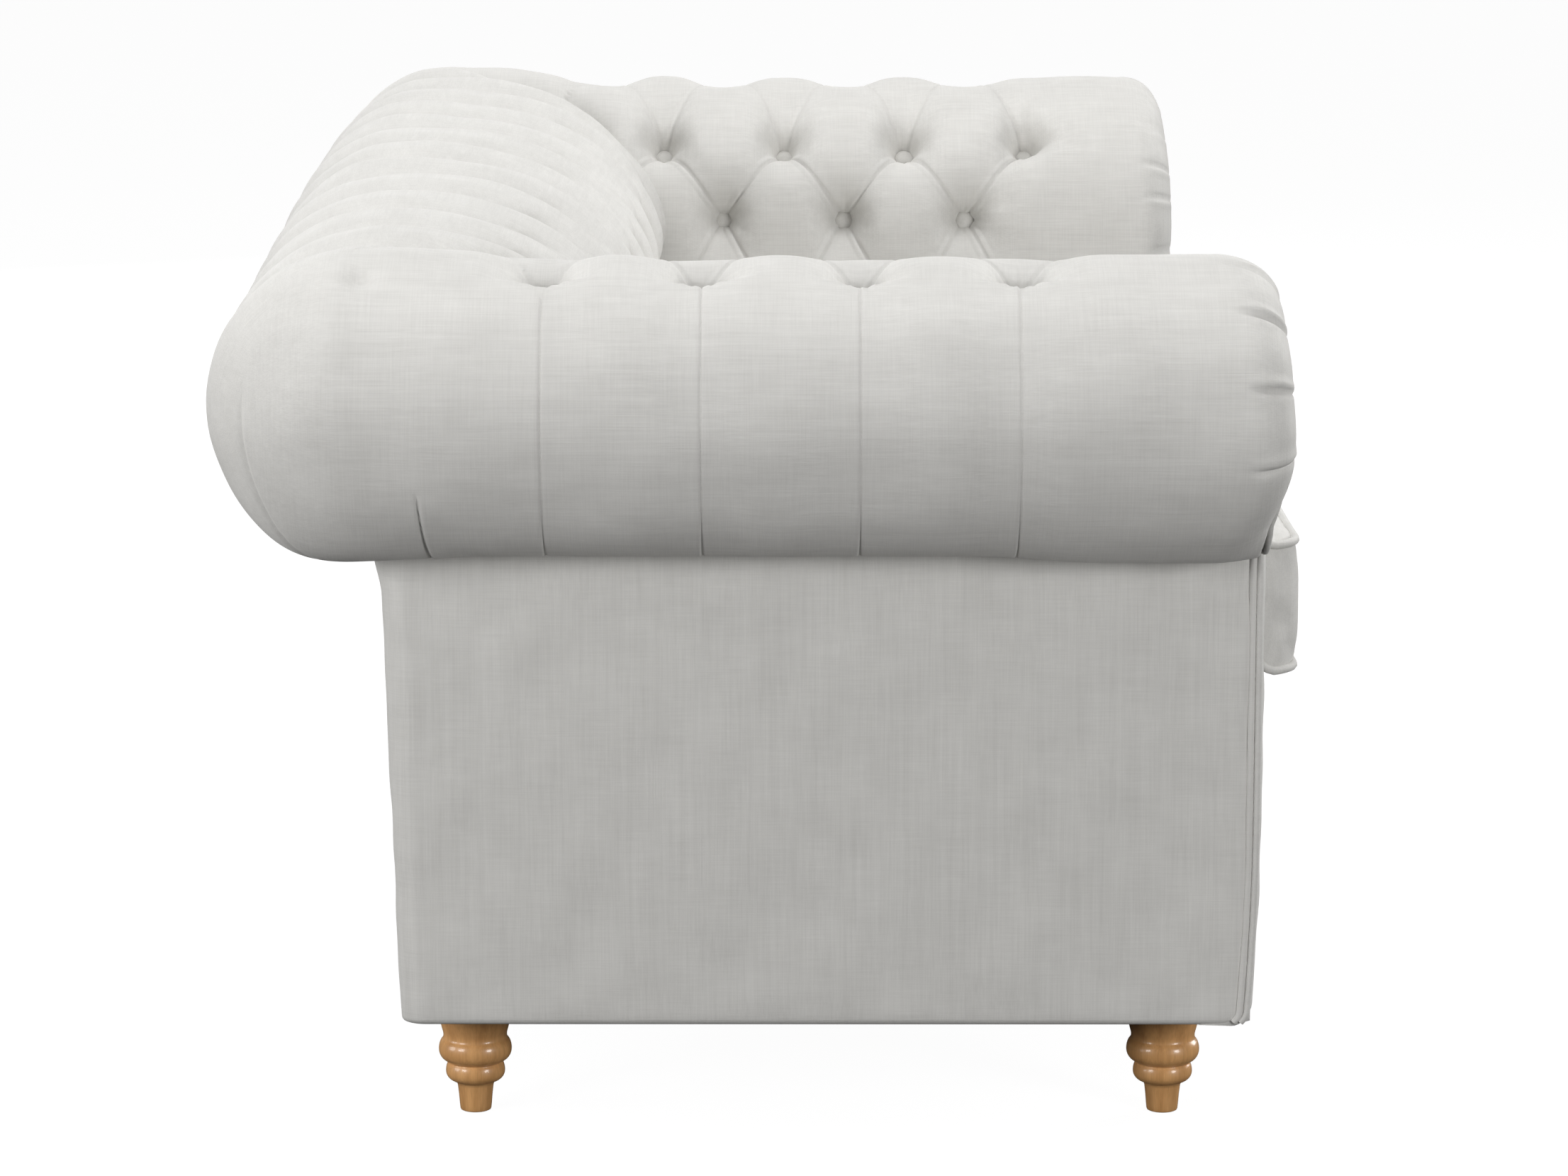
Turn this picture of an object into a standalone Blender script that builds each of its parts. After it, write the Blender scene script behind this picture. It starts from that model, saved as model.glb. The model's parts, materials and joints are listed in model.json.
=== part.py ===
"""Chesterfield sofa with rolled arms and back, deep-buttoned padding and two loose seat cushions.

Metres, +Z up. The front faces -Y, the arms stand at -X (left, seen from the front) and +X (right).
The origin is on the floor under the middle of the sofa. Every physical piece is its own object.
"""
import math

import bmesh
import bpy

# Overall sizes
SOFA_LENGTH = 1.800        # outermost point of one arm roll to that of the other
ARM_DEPTH = 0.902          # front of the arm rolls to the outermost point of the back roll
SOFA_HEIGHT = 0.768        # floor to the top of the rolls
FOOT_HEIGHT = 0.105        # floor to the underside of the frame
CUSHION_LEAD = 0.030       # the seat cushions stand this far ahead of the arm rolls

# Rolls and inside faces
ROLL_RADIUS = 0.128
ROLL_OVERHANG = 0.143      # outermost point of a roll in to the outside panel below it
ARM_INNER = 0.155          # centre line of an arm roll in to the arm's inside face
BACK_INNER = 0.207         # centre line of the back roll in to the back's inside face
SHOULDER_HEIGHT = 0.600    # floor to where the inside faces start to round over
FACE_LEAN = 0.010          # how far an arm's inside face comes in at its foot
DECK_HEIGHT = 0.372        # floor to the deck that the loose cushions lie on

# Deep buttoning: three rows, the middle one half a pitch along
BUTTON_PITCH = 0.130       # between neighbouring buttons of a row
FIRST_BUTTON = 0.227       # front of an arm roll to the first button of its top row
TOP_ROW_ANGLE = 69.0       # degrees round the roll, from its outermost point
MIDDLE_ROW_ANGLE = 142.0
LOW_ROW_ANGLE = 170.0
TUFT_DEPTH = 0.034         # crest of the padding down to a button
SEAM_DEPTH = 0.024         # crest of the padding down to the seam on the inside of a corner
OUTER_SEAM_DEPTH = 0.004   # and down to the seam on its outside
FOLD_SHARE = 0.42          # share of the depth that the folds between buttons take
TOP_ROW_SHARE = 0.55       # depth of the top row's pits, beside that of the rows below
PLEAT_SHARE = 0.15         # depth left in the pleats on the outside of the rolls

# Front ends of the arms
FRONT_ROUND = 0.045        # rounding of the padding at the front of an arm
RIM_INSET = 0.055          # padded rim round an arm facing
RIM_STEP = 0.002           # front of the padded rim back to the facing inside it
DOME_DROP = 0.028          # centre of an arm roll down to the foremost point of the arm
HIGH_FALL = 0.014          # the front falls back this much one roll radius above that point
LOW_FALL = 0.036           # and this much one roll radius below it
FACING_SETBACK = 0.012     # foremost point of an arm back to the flat of its facing
FACING_THICKNESS = 0.012
PANEL_THICKNESS = 0.012    # outside panels and front border
BORDER_SETBACK = 0.006     # front of a facing back to the front border
BACK_TAPER = 0.013         # the outside back leans in by this much at its foot

# Wooden frame
POST_WIDTH = 0.055
POST_DEPTH = 0.060
BASE_RAIL_HEIGHT = 0.120
SEAT_RAIL_THICKNESS = 0.030
SPRING_RAIL_DROP = 0.047     # deck down to the top of the two rails that carry the springs
SPRING_RAIL_FROM_BACK = 0.286  # outermost point of the back roll in to the rear seat rail
TOP_RAIL_THICKNESS = 0.030
TOP_RAIL_DROP = 0.118        # top of the roll down to the top of the top rail
TOP_RAIL_REACH = 0.055       # centre line of the roll out to the top rail's outer edge
TACKING_RAIL_HEIGHT = 0.045
TUCK_RAIL_WIDTH = 0.057
TUCK_RAIL_HEIGHT = 0.040
STRETCHER_WIDTH = 0.040
STRETCHER_HEIGHT = 0.095
BLOCK_SIZE = 0.100
BLOCK_HEIGHT = 0.060

# Seat
SPRING_COUNT = 6
SPRING_WIRE = 0.004
SPRING_SWING = 0.028       # half the width of a serpentine spring
SPRING_LOOPS = 7
SPRING_LOOP_POINTS = 6
SPRING_TAIL = 0.020        # straight end of a spring, lying on its clip strip
STRIP_WIDTH = 0.024
STRIP_THICKNESS = 0.002
COVER_THICKNESS = 0.002
CUSHION_EDGE_HEIGHT = 0.104  # between the two piped edges of a seat cushion
CUSHION_EDGE_LIFT = 0.020    # deck up to the lower piped edge
CUSHION_CROWN = 0.022
CUSHION_CORNER = 0.045
CUSHION_PULL_IN = 0.005    # how far a side is drawn in between its corners
CUSHION_HOLLOW = 0.004     # how far the sides draw in between the piped edges
CUSHION_SIDE_ROOM = 0.003
DUST_COVER_THICKNESS = 0.002
DUST_COVER_MARGIN = 0.010
DUST_COVER_CORNER = 0.185  # cut corners of the dust cover, clear of the feet

# Feet
FOOT_FROM_PANEL = 0.097    # outside arm panel in to the axis of a foot
FOOT_FROM_FRONT = 0.091    # front of an arm roll back to the axis of a front foot
FOOT_FROM_BACK = 0.214     # outermost point of the back roll in to the axis of a rear foot
FOOT_BASE_RADIUS = 0.0128
FOOT_NECK_RADIUS = 0.0149
FOOT_LOW_BEAD_RADIUS = 0.0247
FOOT_LOW_NOTCH_RADIUS = 0.0218
FOOT_BEAD_RADIUS = 0.0300
FOOT_NOTCH_RADIUS = 0.0260
FOOT_COLLAR_RADIUS = 0.0308
BOLT_RADIUS = 0.004
BOLT_IN_FOOT = 0.050
NUT_RADIUS = 0.011
NUT_HEIGHT = 0.008
BOLT_PROUD = 0.003         # end of a bolt above its nut

# Fits and facets
GAP = 0.0003               # between pieces that touch
CUSHION_BACK_ROOM = 0.004
POST_ROOM = 0.003          # between a post and the padding on its inside
MITRE_GAP = 0.0010         # between the arm padding and the back padding
MITRE_FADE = 0.050         # the tufts flatten out over this length beside a mitre
MITRE_ROOM = 0.050         # straight columns of points stop this far from a mitre
PITCH_STEPS = 4            # columns of points in one button pitch
CORNER_STEPS = 5           # columns of points in the plain corner of a roll
CORNER_CROWDING = 1.5      # over 1, those columns crowd towards the mitre
TURN_SEGMENTS = 16

# Profile stations: -1 under the roll, 0 top row, 1 middle row, 2 low row, 3 foot of the inside face
ROW_STEP = 0.25            # every other station between two rows lies half a column along, on the folds
DOME_STATIONS = 0.45       # the padded front end grows to its full size over this stretch
PLEAT_STATIONS = 0.4       # the outside pleats fade to their share of depth over this stretch
UNDER_STATIONS = 0.3       # pleats and seams run out over this stretch, under the roll

# Places that follow from the sizes
BACK_Y = (ARM_DEPTH + CUSHION_LEAD) / 2
ARM_FRONT_Y = BACK_Y - ARM_DEPTH
CUSHION_FRONT_Y = ARM_FRONT_Y - CUSHION_LEAD
ROLL_X = SOFA_LENGTH / 2 - ROLL_RADIUS
ROLL_Y = BACK_Y - ROLL_RADIUS
ROLL_Z = SOFA_HEIGHT - ROLL_RADIUS
DOME_HEIGHT = ROLL_Z - DOME_DROP
PANEL_OFFSET = ROLL_RADIUS - ROLL_OVERHANG
UNDER_ANGLE = -math.degrees(math.acos(PANEL_OFFSET / ROLL_RADIUS))
UNDER_Z = ROLL_Z + ROLL_RADIUS * math.sin(math.radians(UNDER_ANGLE))
CORNER_ARC = ROLL_RADIUS * math.pi / 4
OUTERMOST = -TOP_ROW_ANGLE / (TOP_ROW_ANGLE - UNDER_ANGLE)
STATIONS = (-1.0, -0.86, -0.7, -0.53, OUTERMOST, -0.2, 0.0, 0.25, 0.5, 0.75,
            1.0, 1.25, 1.5, 1.75, 2.0, 2.25, 2.6, 3.0)
POST_OUT = PANEL_OFFSET - PANEL_THICKNESS - GAP
BACK_STRETCH = (BACK_INNER + POST_OUT) / (ARM_INNER + POST_OUT)
POST_IN = POST_OUT - POST_WIDTH
CORE_IN = POST_IN - POST_ROOM
TOP_RAIL_TOP = SOFA_HEIGHT - TOP_RAIL_DROP
TOP_RAIL_BOTTOM = TOP_RAIL_TOP - TOP_RAIL_THICKNESS
FACING_FRONT_Y = ARM_FRONT_Y + FACING_SETBACK
FRAME_FRONT_Y = FACING_FRONT_Y + FACING_THICKNESS + GAP
BORDER_FRONT_Y = FACING_FRONT_Y + BORDER_SETBACK
SEAT_RAIL_FRONT_Y = BORDER_FRONT_Y + PANEL_THICKNESS + GAP
SEAT_RAIL_BACK_Y = SEAT_RAIL_FRONT_Y + SEAT_RAIL_THICKNESS
FRAME_BACK_Y = ROLL_Y + POST_OUT - BACK_TAPER
SPRING_RAIL_Y = BACK_Y - SPRING_RAIL_FROM_BACK
SPRING_RAIL_HEIGHT = DECK_HEIGHT - SPRING_RAIL_DROP
BASE_TOP = FOOT_HEIGHT + BASE_RAIL_HEIGHT
STRIP_TOP = SPRING_RAIL_HEIGHT + STRIP_THICKNESS
SPRING_Z = STRIP_TOP + 2 * GAP + SPRING_WIRE / 2
SPRING_TOP = SPRING_Z + SPRING_WIRE / 2
TUCK_IN = POST_IN - GAP - TUCK_RAIL_WIDTH
TUCK_TOP = DECK_HEIGHT - GAP
FOOT_X = ROLL_X + PANEL_OFFSET - FOOT_FROM_PANEL
FOOT_YS = {"front": ARM_FRONT_Y + FOOT_FROM_FRONT, "rear": BACK_Y - FOOT_FROM_BACK}
SIDES ={"left": -1, "right": 1}


# Materials

def material(name, colour, roughness, metallic=0.0):
    """Make one Principled material."""
    made = bpy.data.materials.new(name)
    made.use_nodes = True
    shader = made.node_tree.nodes["Principled BSDF"]
    shader.inputs["Base Color"].default_value = (*colour, 1.0)
    shader.inputs["Roughness"].default_value = roughness
    shader.inputs["Metallic"].default_value = metallic
    return made


def finish(name, bm, look, smooth=False):
    """Turn a bmesh into a named object with one material."""
    bmesh.ops.recalc_face_normals(bm, faces=bm.faces)
    mesh = bpy.data.meshes.new(name)
    bm.to_mesh(mesh)
    bm.free()
    mesh.materials.append(look)
    if smooth:
        mesh.shade_smooth()
        mesh.set_sharp_from_angle(angle=math.radians(50))
    made = bpy.data.objects.new(name, mesh)
    bpy.context.scene.collection.objects.link(made)
    return made


# Plain solids

def board(name, xs, ys, zs, look):
    """Make a straight board from its ranges along X, Y and Z."""
    bm = bmesh.new()
    bmesh.ops.create_cube(bm, size=1.0)
    for vert in bm.verts:
        vert.co.x = xs[1] if vert.co.x > 0 else xs[0]
        vert.co.y = ys[1] if vert.co.y > 0 else ys[0]
        vert.co.z = zs[1] if vert.co.z > 0 else zs[0]
    return finish(name, bm, look)


def slab(name, outline, offset, look):
    """Extrude a flat outline of points by an offset."""
    bm = bmesh.new()
    face = bm.faces.new([bm.verts.new(point) for point in outline])
    extruded = bmesh.ops.extrude_face_region(bm, geom=[face])
    moved = [item for item in extruded["geom"] if isinstance(item, bmesh.types.BMVert)]
    bmesh.ops.translate(bm, verts=moved, vec=offset)
    return finish(name, bm, look)


def turned(name, profile, look, place):
    """Turn a profile of (radius, height) pairs about a vertical axis. Radius 0 closes an end."""
    bm = bmesh.new()
    rings = []
    for radius, height in profile:
        if radius == 0:
            rings.append([bm.verts.new((0, 0, height))] * TURN_SEGMENTS)
            continue
        ring = []
        for step in range(TURN_SEGMENTS):
            angle = 2 * math.pi * step / TURN_SEGMENTS
            ring.append(bm.verts.new((radius * math.cos(angle), radius * math.sin(angle), height)))
        rings.append(ring)
    if profile[0][0] and profile[-1][0]:
        rings.append(rings[0])
    for low, high in zip(rings, rings[1:]):
        for step in range(TURN_SEGMENTS):
            after = (step + 1) % TURN_SEGMENTS
            corners = [low[step], low[after], high[after], high[step]]
            bm.faces.new(list(dict.fromkeys(corners)))
    made = finish(name, bm, look, smooth=True)
    made.location = place
    return made


def bore(piece, place, radius, depth):
    """Cut a vertical hole into a piece, with its middle at a place."""
    cutter_bm = bmesh.new()
    bmesh.ops.create_cone(cutter_bm, cap_ends=True, segments=TURN_SEGMENTS,
                          radius1=radius, radius2=radius, depth=depth)
    cutter = finish(piece.name + "_hole", cutter_bm, piece.data.materials[0])
    cutter.location = place
    cutter.hide_render = True
    cutter.display_type = "WIRE"
    cut = piece.modifiers.new("hole", "BOOLEAN")
    cut.operation = "DIFFERENCE"
    cut.object = cutter


# Padded arms and back

def mix(low, high, share):
    """Step from low to high by a share."""
    return low + (high - low) * share


def ease(share):
    """Smooth step from 0 to 1, flat at both ends."""
    share = min(max(share, 0.0), 1.0)
    return share * share * (3 - 2 * share)


def stretch(offset):
    """Offset from the back roll's centre line that matches an offset on an arm: its inside is thicker."""
    return offset if offset > POST_OUT else POST_OUT + (offset - POST_OUT) * BACK_STRETCH


def profile(station):
    """Offset outwards and height of the padding's crest at a station, on an arm."""
    if station <= 2:
        angles = (UNDER_ANGLE, TOP_ROW_ANGLE, MIDDLE_ROW_ANGLE, LOW_ROW_ANGLE)
        first = min(int(math.floor(station)) + 1, 2)
        angle = math.radians(mix(angles[first], angles[first + 1], station + 1 - first))
        if angle <= math.pi / 2:
            return ROLL_RADIUS * math.cos(angle), ROLL_Z + ROLL_RADIUS * math.sin(angle)
        rise = SOFA_HEIGHT - SHOULDER_HEIGHT
        return ARM_INNER * math.cos(angle), SHOULDER_HEIGHT + rise * math.sin(angle)
    rise = SOFA_HEIGHT - SHOULDER_HEIGHT
    low_row = SHOULDER_HEIGHT + rise * math.sin(math.radians(LOW_ROW_ANGLE))
    height = mix(low_row, DECK_HEIGHT, station - 2)
    if height > SHOULDER_HEIGHT:
        return -ARM_INNER * math.sqrt(1 - ((height - SHOULDER_HEIGHT) / rise) ** 2), height
    return -ARM_INNER - FACE_LEAN * (SHOULDER_HEIGHT - height) / (SHOULDER_HEIGHT - DECK_HEIGHT), height


def sunk(station, depth):
    """Point of the profile, moved into the padding by a depth."""
    nudge = 0.001
    before = profile(max(station - nudge, -1.0))
    after = profile(min(station + nudge, 3.0))
    along = (after[0] - before[0], after[1] - before[1])
    length = math.hypot(*along)
    offset, height = profile(station)
    offset -= along[1] / length * depth
    height += along[0] / length * depth
    return offset, max(height, DECK_HEIGHT)


def tuft_level(column, station, columns):
    """Height of the padding between its buttons: 0 at a button, 1 on a crest."""
    row = min(max(station, 0.0), 2.0)
    rising = column + row / 2
    falling = column - row / 2
    before = -rising if row < 1 else -1 - falling
    after = falling - (columns - 1) if row < 1 else rising - columns
    plain = max(before, after)
    if plain > 0:
        fold = math.sin(math.pi * min(plain, 0.5))
        pillow = fold * fold
    else:
        fold = math.sqrt(abs(math.sin(math.pi * rising) * math.sin(math.pi * falling)))
        pillow = 1 - abs(math.cos(math.pi * rising) * math.cos(math.pi * falling))
    level = FOLD_SHARE * fold + (1 - FOLD_SHARE) * pillow
    if station < 0:
        share = mix(TOP_ROW_SHARE, PLEAT_SHARE, min(-station / PLEAT_STATIONS, 1.0)) * under_share(station)
    else:
        share = mix(TOP_ROW_SHARE, 1.0, min(station, 1.0))
    return 1 - (1 - level) * share


def under_share(station):
    """Share of a pleat's or seam's depth that is left at a station, nothing under the roll."""
    return ease((1 + station) / UNDER_STATIONS)


CORE = (
    # station from which the padding backs onto this corner, offset, height
    (-1.0, POST_OUT + GAP, UNDER_Z),
    (-0.87, POST_OUT + GAP, TOP_RAIL_BOTTOM - GAP),
    (-0.54, TOP_RAIL_REACH + GAP, TOP_RAIL_BOTTOM - GAP),
    (-0.39, TOP_RAIL_REACH + GAP, TOP_RAIL_TOP + GAP),
    (0.6, CORE_IN, TOP_RAIL_TOP + GAP),
    (3.0, CORE_IN, DECK_HEIGHT),
)


def core_index(station):
    """Corner of the wooden core that a station backs onto."""
    return max(index for index, corner in enumerate(CORE) if corner[0] <= station + 1e-6)


def shifted(station):
    """Tell whether a station's points lie half a column along."""
    return 0 < station < 2 and round(station / ROW_STEP) % 2 == 1


def close_end(bm, ring):
    """Close one end of the padding, between its outer points and the corners of its core."""
    core = ring[:len(STATIONS) - 1:-1]
    for index in range(len(STATIONS) - 1):
        here = core_index(STATIONS[index])
        after = core_index(STATIONS[index + 1])
        bm.faces.new((ring[index], ring[index + 1], core[here]))
        if after != here:
            bm.faces.new((ring[index + 1], core[after], core[here]))


def padding(name, rings, look):
    """Join rings of points, each the outer profile and then the core, into one closed pad."""
    bm = bmesh.new()
    loops = [[bm.verts.new(point) for point in ring] for ring in rings]
    for loop, after in zip(loops, loops[1:]):
        for index in range(len(loop)):
            ahead = (index + 1) % len(loop)
            if ahead < len(STATIONS) and shifted(STATIONS[ahead]):
                bm.faces.new((loop[index], loop[ahead], after[index]))
                bm.faces.new((loop[ahead], after[ahead], after[index]))
            else:
                bm.faces.new((loop[index], loop[ahead], after[ahead]))
                bm.faces.new((loop[index], after[ahead], after[index]))
    close_end(bm, loops[0])
    close_end(bm, loops[-1])
    return finish(name, bm, look, smooth=True)


def end_shares(split, last_button, end):
    """Shares of the way from the last straight column to the mitre, fine as far as the last button."""
    step = BUTTON_PITCH / PITCH_STEPS
    fine = int((last_button + BUTTON_PITCH / 2 - split) / step + 0.5)
    shares = [step * (index + 1) / (end - split) for index in range(fine)]
    left = 1 - shares[-1]
    for index in range(1, CORNER_STEPS + 1):
        shares.append(1 - left * (1 - index / CORNER_STEPS) ** CORNER_CROWDING)
    return shares


def seam_depth(station):
    """Depth of the mitred seam at a station: deep on the inside of a corner, slight on its outside."""
    return mix(OUTER_SEAM_DEPTH, SEAM_DEPTH, ease(station)) * under_share(station)


def seam_offset(station):
    """Offset of the padding in the mitred seam at a station."""
    return sunk(station, seam_depth(station))[0]


def pad_depth(station, level, to_mitre):
    """Depth of the padding's surface below its crest, from its tuft level and the way to the mitre."""
    return mix(seam_depth(station), TUFT_DEPTH * (1 - level), ease(to_mitre / MITRE_FADE))


def toward_mitre(offset, start, pivot, end, share):
    """Turn, way along and way left, a share of the way to a mitre. The outside of a corner is rounded."""
    if offset <= 0:
        return 0.0, mix(start, end, share), (end - start) * (1 - share)
    length = pivot - start + max(offset * math.pi / 4 - MITRE_GAP / 2, 0.0)
    beyond = start + length * share - pivot
    return max(beyond, 0.0) / offset, pivot + min(beyond, 0.0), length * (1 - share)


def arm_mitre(offset):
    """Where an arm's padding ends against the back's, along Y."""
    return ROLL_Y + stretch(offset) - MITRE_GAP / 2


def back_mitre(offset):
    """Where the back's padding ends against an arm's, along X from the middle."""
    return ROLL_X + offset - MITRE_GAP / 2


def front_columns():
    """Inset and place along Y of the points that round the front end of an arm."""
    rim = RIM_INSET - FRONT_ROUND
    columns = [(RIM_INSET, FRAME_FRONT_Y - GAP), (FRONT_ROUND + rim / 2, ARM_FRONT_Y + rim / 2)]
    for degrees in (0, 30, 60, 90):
        angle = math.radians(degrees)
        inset = FRONT_ROUND * (1 - math.sin(angle))
        columns.append((inset, ARM_FRONT_Y + FRONT_ROUND * (1 - math.cos(angle))))
    return columns


def front_fall(height):
    """How far an arm's domed front lies behind its foremost point, at a height."""
    away = ((height - DOME_HEIGHT) / ROLL_RADIUS) ** 2
    if height > DOME_HEIGHT:
        return HIGH_FALL * away
    return min(LOW_FALL * away, FACING_SETBACK - RIM_STEP)


def dome_share(station):
    """Share of the padded front end at a station, growing from nothing under the roll."""
    return ease((station + 1) / DOME_STATIONS)


def arm_pad(side_name, look):
    """Make the tufted padding of one arm: inside face, roll and rounded front end."""
    side = SIDES[side_name]
    first_y = ARM_FRONT_Y + FIRST_BUTTON
    columns = int((BACK_Y - 2 * ROLL_RADIUS - first_y) / BUTTON_PITCH) + 1
    step = BUTTON_PITCH / PITCH_STEPS
    straight = int((arm_mitre(profile(3)[0]) - MITRE_ROOM - first_y) / step)
    split = first_y + straight * step
    start_y = first_y - BUTTON_PITCH

    def level(y, station):
        return tuft_level((y - first_y) / BUTTON_PITCH, station, columns)

    rings = []
    front = front_columns()
    for index, (inset, front_y) in enumerate(front):
        plain_y = mix(front[0][1], start_y, index / len(front))
        outer = []
        for station in STATIONS:
            dome = dome_share(station)
            offset, height = sunk(station, inset * dome)
            domed_y = front_y + front_fall(height) if index else front_y
            outer.append((side * (ROLL_X + offset), mix(plain_y, domed_y, dome), height))
        inner = [(side * (ROLL_X + offset), plain_y, height) for _, offset, height in CORE]
        rings.append(outer + inner[::-1])
    places = [(start_y + step * index, 0.0) for index in range(straight + PITCH_STEPS + 1)]
    last_y = first_y + (columns - 1) * BUTTON_PITCH
    places += [(split, share) for share in end_shares(split, last_y, ROLL_Y + CORNER_ARC)]
    for start, share in places:
        outer = []
        for station in STATIONS:
            seam = seam_offset(station)
            begin = start + step / 2 * shifted(station)
            turn, y, left = toward_mitre(seam, begin, ROLL_Y, arm_mitre(seam), share)
            offset, height = sunk(station, pad_depth(station, level(y + seam * turn, station), left))
            x = ROLL_X + offset * math.cos(turn)
            outer.append((side * x, y + offset * math.sin(turn), height))
        inner = []
        for _, offset, height in CORE:
            inner.append((side * (ROLL_X + offset), mix(start, arm_mitre(offset), share), height))
        rings.append(outer + inner[::-1])
    return padding(side_name + "_arm_pad", rings, look)


def back_pad(look):
    """Make the tufted padding of the back, mitred to both arms."""
    inner_width = 2 * (ROLL_X - ARM_INNER)
    columns = int(inner_width / BUTTON_PITCH) + 1
    last_x = (columns - 1) * BUTTON_PITCH / 2
    step = BUTTON_PITCH / PITCH_STEPS
    left_out = math.ceil((last_x - back_mitre(profile(3)[0]) + MITRE_ROOM) / step)
    split = last_x - left_out * step
    straight = (columns - 1) * PITCH_STEPS - 2 * left_out
    shares = end_shares(split, last_x, ROLL_X + CORNER_ARC)
    places = [(-split, share, -1) for share in reversed(shares)]
    places += [(-split + step * index, 0.0, 1) for index in range(straight + 1)]
    places += [(split, share, 1) for share in shares]
    rings = []
    for start, share, side in places:
        outer = []
        for station in STATIONS:
            seam = seam_offset(station)
            begin = side * (start + step / 2 * shifted(station))
            turn, x, left = toward_mitre(seam, begin, ROLL_X, back_mitre(seam), share)
            level = tuft_level((side * (x + seam * turn) + last_x) / BUTTON_PITCH, station, columns)
            offset, height = sunk(station, pad_depth(station, level, left))
            y = ROLL_Y + stretch(offset) * math.cos(turn)
            outer.append((side * (x + offset * math.sin(turn)), y, height))
        inner = []
        for _, offset, height in CORE:
            inner.append((mix(start, side * back_mitre(offset), share), ROLL_Y + stretch(offset), height))
        rings.append(outer + inner[::-1])
    return padding("back_pad", rings, look)


# Covers

def facing_inner():
    """Offset of an arm facing's inside edge."""
    return sunk(3.0, RIM_INSET + 2 * GAP)[0]


def offset_at(edge, height):
    """Offset of an edge, given as (offset, height) points from low to high, at a height."""
    for low, high in zip(edge, edge[1:]):
        if height <= high[1]:
            return mix(low[0], high[0], max(height - low[1], 0.0) / (high[1] - low[1]))
    return edge[-1][0]


def arm_facing(side_name, look):
    """Make the scroll-shaped facing at the front of an arm: domed on the roll, flat below it."""
    side = SIDES[side_name]
    outline = [sunk(station, RIM_INSET * dome_share(station) + 2 * GAP) for station in STATIONS]
    top = max(range(len(outline)), key=lambda index: outline[index][1])
    outside = [(PANEL_OFFSET, FOOT_HEIGHT)] + outline[:top + 1]
    inside = [(facing_inner(), FOOT_HEIGHT)] + outline[:top - 1:-1]
    bm = bmesh.new()
    rows = []
    for height in sorted({point[1] for point in outside + inside}):
        offsets = [offset_at(outside, height), offset_at(inside, height)]
        if height == outline[top][1]:
            offsets.pop()
        front_y = ARM_FRONT_Y + RIM_STEP + front_fall(height)
        front = [bm.verts.new((side * (ROLL_X + offset), front_y, height)) for offset in offsets]
        rear = [bm.verts.new((vert.co.x, FRAME_FRONT_Y - GAP, height)) for vert in front]
        rows.append((front[0], front[-1], rear[-1], rear[0]))
    bm.faces.new(rows[0])
    for low, high in zip(rows, rows[1:]):
        for index in range(4):
            ahead = (index + 1) % 4
            corners = dict.fromkeys((low[index], low[ahead], high[ahead], high[index]))
            bm.faces.new(list(corners))
    finish(side_name + "_arm_facing", bm, look, smooth=True)


def covers(look, dark):
    """Make the outside panels, the front border and the dust cover."""
    panel_top = UNDER_Z - GAP
    back_out = ROLL_Y + PANEL_OFFSET
    back_foot = back_out - BACK_TAPER
    for side_name, side in SIDES.items():
        x = side * (ROLL_X + PANEL_OFFSET)
        outline = [(x, FRAME_FRONT_Y, FOOT_HEIGHT), (x, back_foot, FOOT_HEIGHT),
                   (x, back_out, panel_top), (x, FRAME_FRONT_Y, panel_top)]
        slab(side_name + "_outside_arm_panel", outline, (-side * PANEL_THICKNESS, 0, 0), look)
        arm_facing(side_name, look)
    reach = ROLL_X + PANEL_OFFSET - PANEL_THICKNESS - GAP
    outline = [(-reach, back_foot, FOOT_HEIGHT), (-reach, back_out, panel_top),
               (-reach, back_out - PANEL_THICKNESS, panel_top),
               (-reach, back_foot - PANEL_THICKNESS, FOOT_HEIGHT)]
    slab("outside_back_panel", outline, (2 * reach, 0, 0), look)
    reach = ROLL_X + facing_inner() - 2 * GAP
    board("front_border", (-reach, reach), (BORDER_FRONT_Y, BORDER_FRONT_Y + PANEL_THICKNESS),
          (FOOT_HEIGHT, TUCK_TOP), look)
    x = ROLL_X + POST_OUT - DUST_COVER_MARGIN
    front = SEAT_RAIL_FRONT_Y + DUST_COVER_MARGIN
    rear = FRAME_BACK_Y - DUST_COVER_MARGIN
    cut = DUST_COVER_CORNER
    z = FOOT_HEIGHT - GAP
    outline = [(x - cut, front, z), (x, front + cut, z), (x, rear - cut, z), (x - cut, rear, z)]
    outline += [(-px, py, pz) for px, py, pz in reversed(outline)]
    slab("dust_cover", outline, (0, 0, -DUST_COVER_THICKNESS), dark)


# Wooden frame

def across(side, low, high):
    """Range along X of a piece on one arm, from its offsets."""
    return sorted((side * (ROLL_X + low), side * (ROLL_X + high)))


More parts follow.
